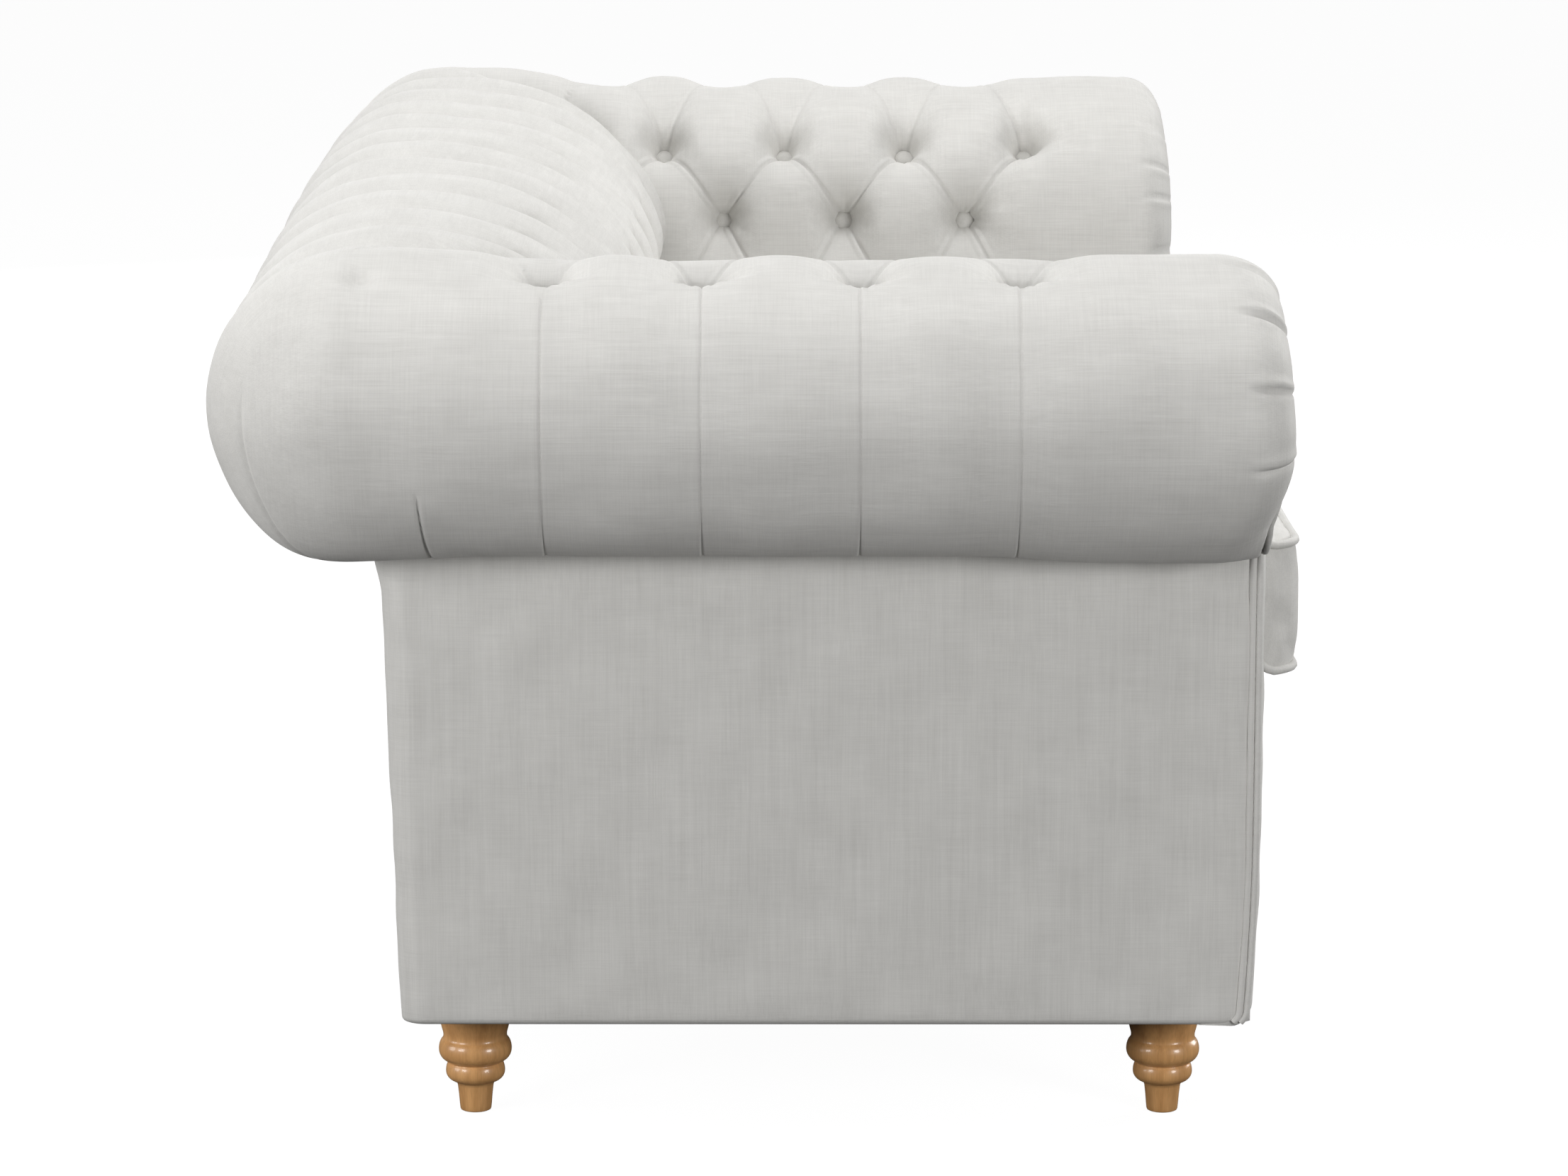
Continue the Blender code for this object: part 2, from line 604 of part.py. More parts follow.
def arm_frame(side_name, look):
    """Make the rails and posts of one arm."""
    side = SIDES[side_name]
    post_xs = across(side, POST_IN, POST_OUT)
    rear_post_y = ROLL_Y + stretch(POST_IN)
    front_post_back = FRAME_FRONT_Y + POST_DEPTH
    post_zs = (BASE_TOP + GAP, TOP_RAIL_BOTTOM - GAP)
    board(side_name + "_base_rail", post_xs, (FRAME_FRONT_Y, FRAME_BACK_Y), (FOOT_HEIGHT, BASE_TOP), look)
    board(side_name + "_front_arm_post", post_xs, (FRAME_FRONT_Y, front_post_back), post_zs, look)
    board(side_name + "_rear_post", post_xs, (rear_post_y, FRAME_BACK_Y), post_zs, look)
    board(side_name + "_arm_top_rail", across(side, CORE_IN + GAP, TOP_RAIL_REACH),
          (FRAME_FRONT_Y, ROLL_Y + TOP_RAIL_REACH), (TOP_RAIL_BOTTOM, TOP_RAIL_TOP), look)
    board(side_name + "_arm_tacking_rail", post_xs, (front_post_back + GAP, rear_post_y - GAP),
          (UNDER_Z, UNDER_Z + TACKING_RAIL_HEIGHT), look)
    board(side_name + "_arm_tuck_rail", across(side, TUCK_IN, POST_IN - GAP),
          (SEAT_RAIL_FRONT_Y, rear_post_y), (TUCK_TOP - TUCK_RAIL_HEIGHT, TUCK_TOP), look)


def back_frame(look):
    """Make the rails and the centre post of the back."""
    reach = ROLL_X + POST_IN - GAP
    rail_front = FRAME_BACK_Y - SEAT_RAIL_THICKNESS
    top_reach = ROLL_X + CORE_IN
    tuck_reach = ROLL_X + TUCK_IN - GAP
    board("rear_base_rail", (-reach, reach), (rail_front, FRAME_BACK_Y), (FOOT_HEIGHT, BASE_TOP), look)
    board("back_tacking_rail", (-reach, reach), (rail_front, ROLL_Y + POST_OUT),
          (UNDER_Z, UNDER_Z + TACKING_RAIL_HEIGHT), look)
    board("back_top_rail", (-top_reach, top_reach),
          (ROLL_Y + stretch(CORE_IN) + GAP, ROLL_Y + TOP_RAIL_REACH), (TOP_RAIL_BOTTOM, TOP_RAIL_TOP), look)
    board("back_centre_post", (-POST_WIDTH / 2, POST_WIDTH / 2),
          (ROLL_Y + stretch(POST_IN), rail_front - GAP), (FOOT_HEIGHT, TOP_RAIL_BOTTOM - GAP), look)
    board("back_tuck_rail", (-tuck_reach, tuck_reach),
          (ROLL_Y + stretch(TUCK_IN), ROLL_Y + stretch(POST_IN) - GAP),
          (TUCK_TOP - TUCK_RAIL_HEIGHT, TUCK_TOP), look)


def seat_frame(look):
    """Make the rails that carry the seat, the stretcher and the corner blocks."""
    reach = ROLL_X + POST_IN - GAP
    rail_zs = (FOOT_HEIGHT, SPRING_RAIL_HEIGHT)
    spring_rail_back = SPRING_RAIL_Y + SEAT_RAIL_THICKNESS / 2
    spring_rail_front = SPRING_RAIL_Y - SEAT_RAIL_THICKNESS / 2
    board("front_seat_rail", (-reach, reach), (SEAT_RAIL_FRONT_Y, SEAT_RAIL_BACK_Y), rail_zs, look)
    board("rear_seat_rail", (-reach, reach), (spring_rail_front, spring_rail_back), rail_zs, look)
    board("centre_stretcher", (-STRETCHER_WIDTH / 2, STRETCHER_WIDTH / 2),
          (SEAT_RAIL_BACK_Y + GAP, spring_rail_front - GAP),
          (FOOT_HEIGHT, FOOT_HEIGHT + STRETCHER_HEIGHT), look)
    rear_rail_front = FRAME_BACK_Y - SEAT_RAIL_THICKNESS
    block_ys = {"front": (SEAT_RAIL_BACK_Y + GAP, SEAT_RAIL_BACK_Y + GAP + BLOCK_SIZE),
                "rear": (spring_rail_back + GAP, rear_rail_front - GAP)}
    for side_name, side in SIDES.items():
        xs = sorted((side * reach, side * (reach - BLOCK_SIZE)))
        for end_name, ys in block_ys.items():
            block = board(f"{side_name}_{end_name}_corner_block", xs, ys,
                          (FOOT_HEIGHT, FOOT_HEIGHT + BLOCK_HEIGHT), look)
            middle = (side * FOOT_X, FOOT_YS[end_name], FOOT_HEIGHT + BLOCK_HEIGHT / 2)
            bore(block, middle, BOLT_RADIUS + GAP, 2 * BLOCK_HEIGHT)


# Seat

def springs(steel):
    """Make the serpentine springs and the strips that hold their ends."""
    front_y = (SEAT_RAIL_FRONT_Y + SEAT_RAIL_BACK_Y) / 2
    reach = ROLL_X + TUCK_IN - STRIP_WIDTH
    strip_zs = (SPRING_RAIL_HEIGHT + GAP, STRIP_TOP + GAP)
    for name, y in (("front", front_y), ("rear", SPRING_RAIL_Y)):
        strip_ys = (y - STRIP_WIDTH / 2, y + STRIP_WIDTH / 2)
        board(name + "_spring_strip", (-reach, reach), strip_ys, strip_zs, steel)
    spacing = 2 * reach / SPRING_COUNT
    points = SPRING_LOOPS * SPRING_LOOP_POINTS
    for number in range(SPRING_COUNT):
        middle = -reach + spacing * (number + 0.5)
        route = [(middle, front_y)]
        for index in range(points + 1):
            swing = SPRING_SWING * math.sin(2 * math.pi * index / SPRING_LOOP_POINTS)
            y = mix(front_y + SPRING_TAIL, SPRING_RAIL_Y - SPRING_TAIL, index / points)
            route.append((middle + swing, y))
        route.append((middle, SPRING_RAIL_Y))
        wire(f"seat_spring_{number + 1}", [(x, y, SPRING_Z) for x, y in route], SPRING_WIRE / 2, steel)


def wire(name, route, radius, look):
    """Make a round wire along a route of points."""
    curve = bpy.data.curves.new(name, "CURVE")
    curve.dimensions = "3D"
    curve.bevel_depth = radius
    curve.bevel_resolution = 0
    curve.use_fill_caps = True
    spline = curve.splines.new("POLY")
    spline.points.add(len(route) - 1)
    for point, place in zip(spline.points, route):
        point.co = (*place, 1.0)
    curve.materials.append(look)
    bpy.context.scene.collection.objects.link(bpy.data.objects.new(name, curve))


def deck(hessian, linen):
    """Make the cover over the springs and the pad on it."""
    front = SEAT_RAIL_FRONT_Y
    rear = ROLL_Y + stretch(TUCK_IN) - GAP
    reach = ROLL_X + TUCK_IN - GAP
    cover_bottom = SPRING_TOP + GAP
    cover_top = cover_bottom + COVER_THICKNESS
    board("spring_cover", (-reach, reach), (front, rear), (cover_bottom, cover_top), hessian)
    board("seat_deck_pad", (-reach, reach), (front, rear), (cover_top + GAP, TUCK_TOP), linen)


def cushion_outline(xs, ys, hollow):
    """Plan of a seat cushion: round corners, with the sides drawn in between them."""
    half = ((xs[1] - xs[0]) / 2, (ys[1] - ys[0]) / 2)
    centre = ((xs[1] + xs[0]) / 2, (ys[1] + ys[0]) / 2)
    corner_steps = 4
    side_steps = 6
    outline = []
    for turn in range(4):
        angle = turn * math.pi / 2
        along = half[turn % 2] - CUSHION_CORNER
        out = half[(turn + 1) % 2]
        local = []
        for index in range(1, side_steps):
            share = -1 + 2 * index / side_steps
            local.append((-along * share, out - CUSHION_PULL_IN * (1 - share * share) - hollow))
        for index in range(corner_steps + 1):
            sweep = math.radians(90 * index / corner_steps)
            radius = CUSHION_CORNER - hollow
            local.append((-along - radius * math.sin(sweep), out - CUSHION_CORNER + radius * math.cos(sweep)))
        for x, y in local:
            turned_x = x * math.cos(angle) - y * math.sin(angle)
            turned_y = x * math.sin(angle) + y * math.cos(angle)
            outline.append((centre[0] + turned_x, centre[1] + turned_y))
    return outline, centre


def seat_cushion(side_name, look):
    """Make one loose seat cushion, crowned on top and flat where it lies on the deck."""
    side = SIDES[side_name]
    outer_x = ROLL_X + profile(3)[0] - CUSHION_SIDE_ROOM
    xs = sorted((side * CUSHION_SIDE_ROOM, side * outer_x))
    ys = (CUSHION_FRONT_Y, ROLL_Y + stretch(profile(3)[0]) - CUSHION_BACK_ROOM)
    low = DECK_HEIGHT + CUSHION_EDGE_LIFT
    high = low + CUSHION_EDGE_HEIGHT
    levels = []
    for share, lift in ((0.45, 0.0), (0.75, 0.0), (0.92, 0.3), (1.0, 1.0)):
        levels.append((share, 0.0, DECK_HEIGHT + CUSHION_EDGE_LIFT * lift))
    levels.append((1.0, CUSHION_HOLLOW, mix(low, high, 0.2)))
    levels.append((1.0, CUSHION_HOLLOW, mix(low, high, 0.8)))
    levels.append((1.0, 0.0, high))
    for share in (0.92, 0.75, 0.45):
        levels.append((share, 0.0, high + CUSHION_CROWN * (1 - share ** 2)))
    bm = bmesh.new()
    loops = []
    for share, hollow, height in levels:
        outline, centre = cushion_outline(xs, ys, hollow)
        loop = []
        for x, y in outline:
            loop.append(bm.verts.new((mix(centre[0], x, share), mix(centre[1], y, share), height)))
        loops.append(loop)
    for loop, after in zip(loops, loops[1:]):
        for index in range(len(loop)):
            ahead = (index + 1) % len(loop)
            bm.faces.new((loop[index], loop[ahead], after[ahead], after[index]))
    for loop, height in ((loops[0], DECK_HEIGHT), (loops[-1], high + CUSHION_CROWN)):
        hub = bm.verts.new((*centre, height))
        for index in range(len(loop)):
            bm.faces.new((loop[index], loop[(index + 1) % len(loop)], hub))
    finish("seat_cushion_" + side_name, bm, look, smooth=True)


# Feet

def feet(oak, steel):
    """Make the turned feet with their bolts and nuts."""
    top = FOOT_HEIGHT - GAP
    hole = top - BOLT_IN_FOOT
    bolt_top = FOOT_HEIGHT + BLOCK_HEIGHT + NUT_HEIGHT + BOLT_PROUD
    bore_radius = BOLT_RADIUS + GAP
    shape = [(0, hole), (bore_radius, hole), (bore_radius, top), (FOOT_COLLAR_RADIUS, top)]
    turnings = ((FOOT_COLLAR_RADIUS, 0.72), (FOOT_NOTCH_RADIUS, 0.62), (FOOT_BEAD_RADIUS, 0.57),
                (FOOT_BEAD_RADIUS, 0.49), (FOOT_LOW_NOTCH_RADIUS, 0.43), (FOOT_LOW_BEAD_RADIUS, 0.39),
                (FOOT_LOW_BEAD_RADIUS, 0.31), (FOOT_NECK_RADIUS, 0.25), (FOOT_BASE_RADIUS, 0.0))
    for radius, share in turnings:
        shape.append((radius, FOOT_HEIGHT * share))
    shape.append((0, 0.0))
    bolt = [(0, bolt_top), (BOLT_RADIUS, bolt_top), (BOLT_RADIUS, hole + GAP), (0, hole + GAP)]
    nut_low = FOOT_HEIGHT + BLOCK_HEIGHT + GAP
    nut = [(bore_radius, nut_low), (bore_radius, nut_low + NUT_HEIGHT),
           (NUT_RADIUS, nut_low + NUT_HEIGHT), (NUT_RADIUS, nut_low)]
    for side_name, side in SIDES.items():
        for end_name, y in FOOT_YS.items():
            place = (side * FOOT_X, y, 0)
            turned(f"{side_name}_{end_name}_foot", shape, oak, place)
            turned(f"{side_name}_{end_name}_foot_bolt", bolt, steel, place)
            turned(f"{side_name}_{end_name}_foot_nut", nut, steel, place)


def main():
    """Clear the scene and build the sofa."""
    for item in list(bpy.data.objects):
        bpy.data.objects.remove(item, do_unlink=True)
    linen = material("linen", (0.72, 0.70, 0.66), 0.9)
    hessian = material("hessian", (0.42, 0.33, 0.21), 0.95)
    dark_cloth = material("dust_cloth", (0.03, 0.03, 0.03), 0.95)
    pine = material("pine", (0.66, 0.49, 0.30), 0.7)
    oak = material("oak", (0.40, 0.22, 0.10), 0.4)
    steel = material("steel", (0.56, 0.56, 0.58), 0.35, 1.0)
    for side_name in SIDES:
        arm_frame(side_name, pine)
        arm_pad(side_name, linen)
        seat_cushion(side_name, linen)
    back_frame(pine)
    seat_frame(pine)
    back_pad(linen)
    covers(linen, dark_cloth)
    springs(steel)
    deck(hessian, linen)
    feet(oak, steel)


main()
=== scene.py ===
"""Looks of the chesterfield sofa: buttoned linen padding, piping, covered buttons and turned oak feet.

Metres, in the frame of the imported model: front at -Y, left arm at -X, floor at Z = 0.

Stations follow the padding's outline: -1 under the roll, 0 at the top row of buttons of an arm, 1 and 2
about at the rows below it on the inside, and 3 at the deck. A cover's columns count button pitches.
"""
import json
import math

import bmesh
import bpy
import numpy as np
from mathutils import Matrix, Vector


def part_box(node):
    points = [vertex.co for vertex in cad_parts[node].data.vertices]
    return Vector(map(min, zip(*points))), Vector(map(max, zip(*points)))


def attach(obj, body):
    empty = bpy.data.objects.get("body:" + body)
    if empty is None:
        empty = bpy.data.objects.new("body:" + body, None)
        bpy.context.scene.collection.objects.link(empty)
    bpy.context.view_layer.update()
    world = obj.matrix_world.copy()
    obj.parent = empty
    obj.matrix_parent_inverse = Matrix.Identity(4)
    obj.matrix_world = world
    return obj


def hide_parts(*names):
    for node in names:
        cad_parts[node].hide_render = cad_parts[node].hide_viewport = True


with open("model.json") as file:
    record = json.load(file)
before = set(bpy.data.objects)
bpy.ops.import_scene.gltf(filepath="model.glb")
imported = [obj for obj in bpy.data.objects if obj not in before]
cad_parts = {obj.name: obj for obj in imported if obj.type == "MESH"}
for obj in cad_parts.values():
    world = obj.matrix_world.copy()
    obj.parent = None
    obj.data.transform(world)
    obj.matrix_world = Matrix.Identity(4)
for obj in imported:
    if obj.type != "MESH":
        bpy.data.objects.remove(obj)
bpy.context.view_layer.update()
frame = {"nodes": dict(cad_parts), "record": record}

# Sizes of the padding, as in the solids
HALF_LENGTH = 0.900
BACK_Y = 0.466
SOFA_HEIGHT = 0.768
SHOULDER_HEIGHT = 0.600
DECK_HEIGHT = 0.372
FOOT_HEIGHT = 0.105
ROLL_RADIUS = 0.128
ROLL_OVERHANG = 0.143
ARM_INNER = 0.155
BACK_INNER = 0.207
FACE_LEAN = 0.010
BUTTON_PITCH = 0.130
FIRST_BUTTON_Y = -0.209
ROW_ANGLES = (69.0, 142.0, 170.0)
RIM_INSET = 0.055
RIM_STEP = 0.002
DOME_DROP = 0.028
DOME_STATIONS = 0.45
LOW_FALL = 0.036
FACING_SETBACK = 0.012
PANEL_THICKNESS = 0.012
BACK_TAPER = 0.013
UNDER_STATIONS = 0.3
GAP = 0.0003

# Rolls, as the cover shapes them
UNDER_SWELL = 0.002  # fullness under the rolls, from some degrees below their widest point
UNDER_SWELL_START = 10.0
BACK_SWELL = 0.016  # the back roll swells by this much at its fullest
BACK_SWELL_X = 0.45
CORNER_SWELLS = {"left": -0.003, "right": 0.012}
CORNER_SWELL_FADE = 0.25
CORNER_HANG = 0.008  # fullness under the corners
FRONT_HANG = 0.0055  # the rolls hang by this much below at the front
ARM_SAG = 0.0058  # the arms' tops lie this much lower than the corners
ARM_SAG_FADE = 0.16
BACK_BULGE = 0.014  # fullness of the inside back above the cushions
BACK_BULGE_FADE = 0.070
SEAM_DEPTH = 0.042  # seams at the mitres, on the inside and the outside
OUTER_SEAM_DEPTH = 0.0016
MITRE_FADE = 0.060
OUTER_MITRE_FADE = 0.0045
COVER_UNEVEN = 0.0009  # faint waves of the stuffing, which fade over some columns at a cover's ends
FADE_COLUMNS = 30
FRONT_FADE_COLUMNS = 8
ROW_STEPS = 24  # rows of points between two rows of buttons
PITCH_POINTS = 48  # columns of points in a pitch
ROW_SPACING = 0.0034  # between rows of points outside the buttons

# Buttoning
ARM_ROWS = (0.0, 0.94, 2.02)
BACK_ROWS = (0.80, 1.95, 2.38)
ROW_SPAN = 0.118  # low row down to where its folds end
PILLOW_DEPTH = 0.025  # the cover's slow sink towards its buttons and folds
PILLOW_POWER = 2.6
TOP_POWER = 1.6
TOP_PILLOW = 0.08  # the top row's humps stand out by this share more
PIT_DEPTH = 0.027  # and the steep sink close to a button
PIT_SIZE = 0.0110
OUTER_PIT_SIZE = 0.0065
PIT_POWER = 1.5
BUTTON_SEAT = 0.0055
GATHER_DEPTH = 0.0022  # short creases in a ring round a button
GATHER_WAVES = 11
GATHER_RING = 0.018
GATHER_WIDTH = 0.010
CREASE_DEPTH = 0.0050  # creases along the folds, near a button and everywhere
CREASE_REST = 0.0018
CREASE_WIDTH = 0.0020
CREASE_REACH = 0.048
CREASE_START = 0.008
CREASE_SLANT = 0.85  # width across a fold for each width along the rows
SECOND_CREASE = 0.0078  # a fainter crease lies this far beside each fold
SECOND_WIDTH = 0.0024
TOP_ROW_SHARE = 0.72  # share of the buttoning's depth along the top row
BACK_TOP_SHARE = 0.55
BACK_LOW_SHARE = 0.78
BACK_CALM = 0.45  # share of the folds' depth over the top of the back
DECK_CALM = 0.25  # share of the buttoning's depth at the deck
ARM_RIPPLE = 0.0020  # how far the outside draws in at a pleat
BACK_RIPPLE = 0.0160
BACK_RIDGE_POWER = 1.4
PLEAT_DEPTH = 0.0009  # fine lapped pleats down the outside of the rolls
PLEAT_WIDTH = 0.0009
PLEAT_LIP = 0.0007
LIP_LENGTH = 0.007
LIP_RISE = 0.003
PLEAT_START = 0.02
BESIDE_PLEAT = (-0.0014, -0.0006, 0.0006, 0.0014)
BUTTON_RADIUS = 0.0106
BUTTON_HEIGHT = 0.0062
BUTTON_WRAP = 0.62  # a button's cover reaches round by this share of a half turn
BUTTON_LIFT = 0.0065  # the buttons stand this far above the bottom of their pits
BACK_TOP_LIFT = -0.0005  # and those of the back's top row
MITRE_CLEARANCE = 0.035  # no button lies closer to a mitre
CORNER_START = 0.02  # columns turn towards the mitre this far before its innermost point

# Arm fronts, facings and panels
ARM_FRONT_Y = -0.4325
FRONT_ROUND = 0.034
HIGH_FALL = 0.010  # the front falls back this much one roll radius above its foremost point
BORDER_TUCK = 0.003  # at the deck it lies at least this far behind the border's face
GATHER_STATIONS = (-0.526, -0.343, -0.147, 0.12, 0.50, 0.88, 1.30, 1.75, 2.15)
RIM_GATHER = 0.0050
INNER_GATHER_SHARE = 0.45
TOP_ROUNDS = {"left": 0.40, "right": 0.05}  # the front's rounding is this share longer along the top
FRONT_STEPS = 16
PLAIN_STEPS = 10
FACING_SPREAD = 0.0065  # the facing fills the groove inside the rim by this much
FACING_TURN_IN = 0.003
FACING_TURN_BACK = 0.030
FACING_PUFF = 0.006
FACING_UNEVEN = 0.0005
PUFF_WIDTH = 0.03
PIPING_RADIUS = 0.0038
EDGE_CORD = 0.0031  # the two cords at the front edge of an outside panel
CORD_INSET = 0.0015
CORD_FOOT = 0.003
FACING_CORD_Y = ARM_FRONT_Y + 0.0173
PANEL_CORD_Y = FACING_CORD_Y + 0.0058
SCROLL_CORD_SETBACK = 0.0034
FRONT_TAPER = 0.0065  # the front of an arm draws back by this much at its foot
TAPER_TOP = 0.300
TAPER_POWER = 2.2
LOWER_EDGE = FOOT_HEIGHT - 0.0040
FOOT_ROUND = 0.013
TURN_UNDER = 0.006  # lower edges turn under the frame with this radius
UNDER_FLAP = 0.030
PANEL_RISE = 0.012  # panels reach this far up behind the rolls
PANEL_FLARE = 0.007  # the outside back curves out below its roll
FLARE_HEIGHT = 0.055
PANEL_BULGE = 0.004
PANEL_UNEVEN = 0.0006
PANEL_CORNER = 0.020  # rounding of the rear corners, and how far the cover runs on
CORNER_LAP = 0.012
PANEL_WRAP = 0.006  # the outside panels' covers reach this far in front of their solids
EDGE_HOLLOW = 0.0045  # hollow along the front edge of an outside panel
EDGE_HOLLOW_WIDTH = 0.017

# Cushions
CUSHION_DROOP = 0.009  # the cushions' front edges hang by this much
CUSHION_LOW_DROOP = 0.016
LIE_GAP = 0.0004  # they lie this far above the deck
SWELL_PRESSURE = 4.0  # the cushions' filling, in the cloth simulation
SWELL_FRAMES = 20
SWELL_CAP = 0.010
SPARE_CLOTH = 0.012

# Places that follow from the sizes
ROLL_X = HALF_LENGTH - ROLL_RADIUS
ROLL_Y = BACK_Y - ROLL_RADIUS
ROLL_Z = SOFA_HEIGHT - ROLL_RADIUS
DOME_HEIGHT = ROLL_Z - DOME_DROP
PANEL_OFFSET = ROLL_RADIUS - ROLL_OVERHANG
PANEL_X = ROLL_X + PANEL_OFFSET
UNDER_ANGLE = -math.degrees(math.acos(PANEL_OFFSET / ROLL_RADIUS))
UNDER_Z = ROLL_Z + ROLL_RADIUS * math.sin(math.radians(UNDER_ANGLE))
POST_OUT = PANEL_OFFSET - PANEL_THICKNESS - GAP
BACK_STRETCH = (BACK_INNER + POST_OUT) / (ARM_INNER + POST_OUT)
FRAME_FRONT_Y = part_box("left_outside_arm_panel")[0].y
BORDER_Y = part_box("front_border")[0].y
SIDES = {"left": -1, "right": 1}
SEED = 7
rng = np.random.default_rng(SEED)


# Materials

class Look:
    """A Principled material with a few node shortcuts."""

    def __init__(self, name, roughness, metallic=0.0):
        self.made = bpy.data.materials.new(name)
        self.made.use_nodes = True
        self.nodes = self.made.node_tree.nodes
        self.links = self.made.node_tree.links
        self.shader = self.nodes["Principled BSDF"]
        self.put(self.shader, Roughness=roughness, Metallic=metallic)
        self.place = self.node("TexCoord").outputs["Object"]

    def put(self, node, **values):
        """Set a node's inputs, each to a value or to another node's socket."""
        for name, value in values.items():
            socket = node.inputs[name.replace("_", " ")]
            if isinstance(value, bpy.types.NodeSocket):
                self.links.new(value, socket)
            else:
                socket.default_value = value
        return node

    def node(self, kind, **values):
        """Add a node and set its inputs."""
        return self.put(self.nodes.new("ShaderNode" + kind), **values)

    def noise(self, scale, detail=2.0, roughness=0.5, shift=0.0):
        """Noise over the object's own metres, with a scale for each axis."""
        mapping = self.node("Mapping", Vector=self.place, Scale=scale, Location=(shift, shift, shift))
        return self.node("TexNoise", Vector=mapping.outputs["Vector"], Scale=1.0, Detail=detail,
                         Roughness=roughness).outputs["Fac"]

    def blend(self, *parts):
        """Sum of values and their weights, as (socket, weight) pairs."""
        total = None
        for value, weight in parts:
            node = self.node("Math")
            node.operation = "MULTIPLY_ADD"
            self.links.new(value, node.inputs[0])
            node.inputs[1].default_value = weight
            node.inputs[2].default_value = 0.0
            if total is not None:
                self.links.new(total, node.inputs[2])
            total = node.outputs["Value"]
        return total

    def colour(self, value, low, dark, high, light):
        """Colour from dark to light along a value."""
        node = self.node("ValToRGB", Fac=value)
        for element, place, colour in zip(node.color_ramp.elements, (low, high), (dark, light)):
            element.position = place
            element.color = (*colour, 1.0)
        self.put(self.shader, Base_Color=node.outputs["Color"])

    def rough(self, value, low, high):
        """Roughness that follows a value."""
        node = self.node("MapRange", Value=value, To_Min=low, To_Max=high)
        self.put(self.shader, Roughness=node.outputs["Result"])

    def bump(self, height, strength, distance):
        node = self.node("Bump", Height=height, Strength=strength, Distance=distance)
        self.put(self.shader, Normal=node.outputs["Normal"])

    def mix_shaders(self, share, first, second):
        node = self.node("MixShader", Fac=share)
        self.links.new(first.outputs[0], node.inputs[1])
        self.links.new(second.outputs[0], node.inputs[2])
        return node


def scale_along(axis, along, across):
    """Noise scales with one value along an axis and another across it."""
    scales = [across, across, across]
    scales[axis] = along
    return scales


def linen(name, axis, dark=(0.600, 0.590, 0.566), light=(0.735, 0.726, 0.700)):
    """Slubbed linen whose weft runs along one axis: fine threads both ways, thick slubs and faint shade."""
    look = Look(name, 0.88)
    weft = look.noise(scale_along(axis, 14.0, 900.0))
    warp = look.noise(scale_along(axis, 950.0, 26.0), shift=3.7)
    slubs = look.noise(scale_along(axis, 7.0, 180.0), shift=8.1)
    shade = look.noise((22.0, 22.0, 30.0), 4.0, 0.6, 1.3)
    threads = look.blend((weft, 0.40), (warp, 0.32), (slubs, 0.28))
    look.colour(look.blend((threads, 0.70), (shade, 0.30)), 0.32, dark, 0.68, light)
    look.rough(threads, 0.78, 0.97)
    look.bump(threads, 0.35, 0.0012)
    look.put(look.shader, Sheen_Weight=0.12, Sheen_Roughness=0.5, Specular_IOR_Level=0.25)
    return look.made


def wood(name, dark, light, axis, roughness, coat):
    """Straight-grained wood with its grain along one axis."""
    look = Look(name, roughness)
    grain = look.noise(scale_along(axis, 6.0, 85.0), 4.0, 0.65)
    pores = look.noise(scale_along(axis, 22.0, 900.0), shift=5.2)
    tone = look.blend((grain, 0.75), (pores, 0.25))
    look.colour(tone, 0.30, dark, 0.70, light)
    look.rough(pores, roughness - 0.08, roughness + 0.12)
    look.bump(tone, 0.15, 0.0006)
    look.put(look.shader, Coat_Weight=coat, Coat_Roughness=0.12)
    return look.made


def cloth(name, dark, light, fine):
    """Plain cloth with a visible thread."""
    look = Look(name, 0.92)
    coarse = fine / 24
    warp = look.noise((fine, coarse, fine))
    weft = look.noise((coarse, fine, fine), shift=4.4)
    threads = look.blend((warp, 0.5), (weft, 0.5))
    look.colour(threads, 0.35, dark, 0.65, light)
    look.rough(threads, 0.85, 1.0)
    look.bump(threads, 0.5, 0.001)
    return look.made


def steel(name):
    """Bright drawn steel with faint marks."""
    look = Look(name, 0.34, 1.0)
    marks = look.noise((160.0, 160.0, 160.0), 3.0, 0.6)
    look.colour(marks, 0.3, (0.42, 0.42, 0.44), 0.7, (0.60, 0.60, 0.62))
    look.rough(marks, 0.26, 0.48)
    look.bump(marks, 0.1, 0.0003)
    return look.made


LINEN_Y = linen("linen_arm", 1)
LINEN_X = linen("linen_back", 0)
LINEN_Z = linen("linen_panel", 2)
LINEN_CUSHION = linen("linen_cushion", 0)
DECK_CLOTH = cloth("deck_lining", (0.52, 0.50, 0.46), (0.66, 0.64, 0.60), 900.0)
HESSIAN = cloth("hessian_weave", (0.26, 0.19, 0.11), (0.46, 0.36, 0.22), 420.0)
DUST_CLOTH = cloth("black_dust_cloth", (0.012, 0.012, 0.012), (0.035, 0.035, 0.035), 1200.0)
PINE = wood("sawn_pine", (0.50, 0.34, 0.19), (0.74, 0.56, 0.35), 0, 0.62, 0.0)
OAK = wood("lacquered_oak", (0.55, 0.272, 0.098), (0.88, 0.492, 0.202), 2, 0.36, 0.45)
STEEL = steel("drawn_steel")
CAD_LOOKS = {"deck_cloth": DECK_CLOTH, "hessian": HESSIAN, "dust_cloth": DUST_CLOTH, "pine": PINE,
             "oak": OAK, "steel": STEEL, "linen": LINEN_X}
for subpart in frame["record"]["subparts"]:
    node = frame["nodes"][subpart["node"]]
    node.data.materials.clear()
    node.data.materials.append(CAD_LOOKS[subpart["material_slot"]])


# Meshes

def placed(name, data):
    """Make an object in the scene."""
    made = bpy.data.objects.new(name, data)
    bpy.context.scene.collection.objects.link(made)
    return made


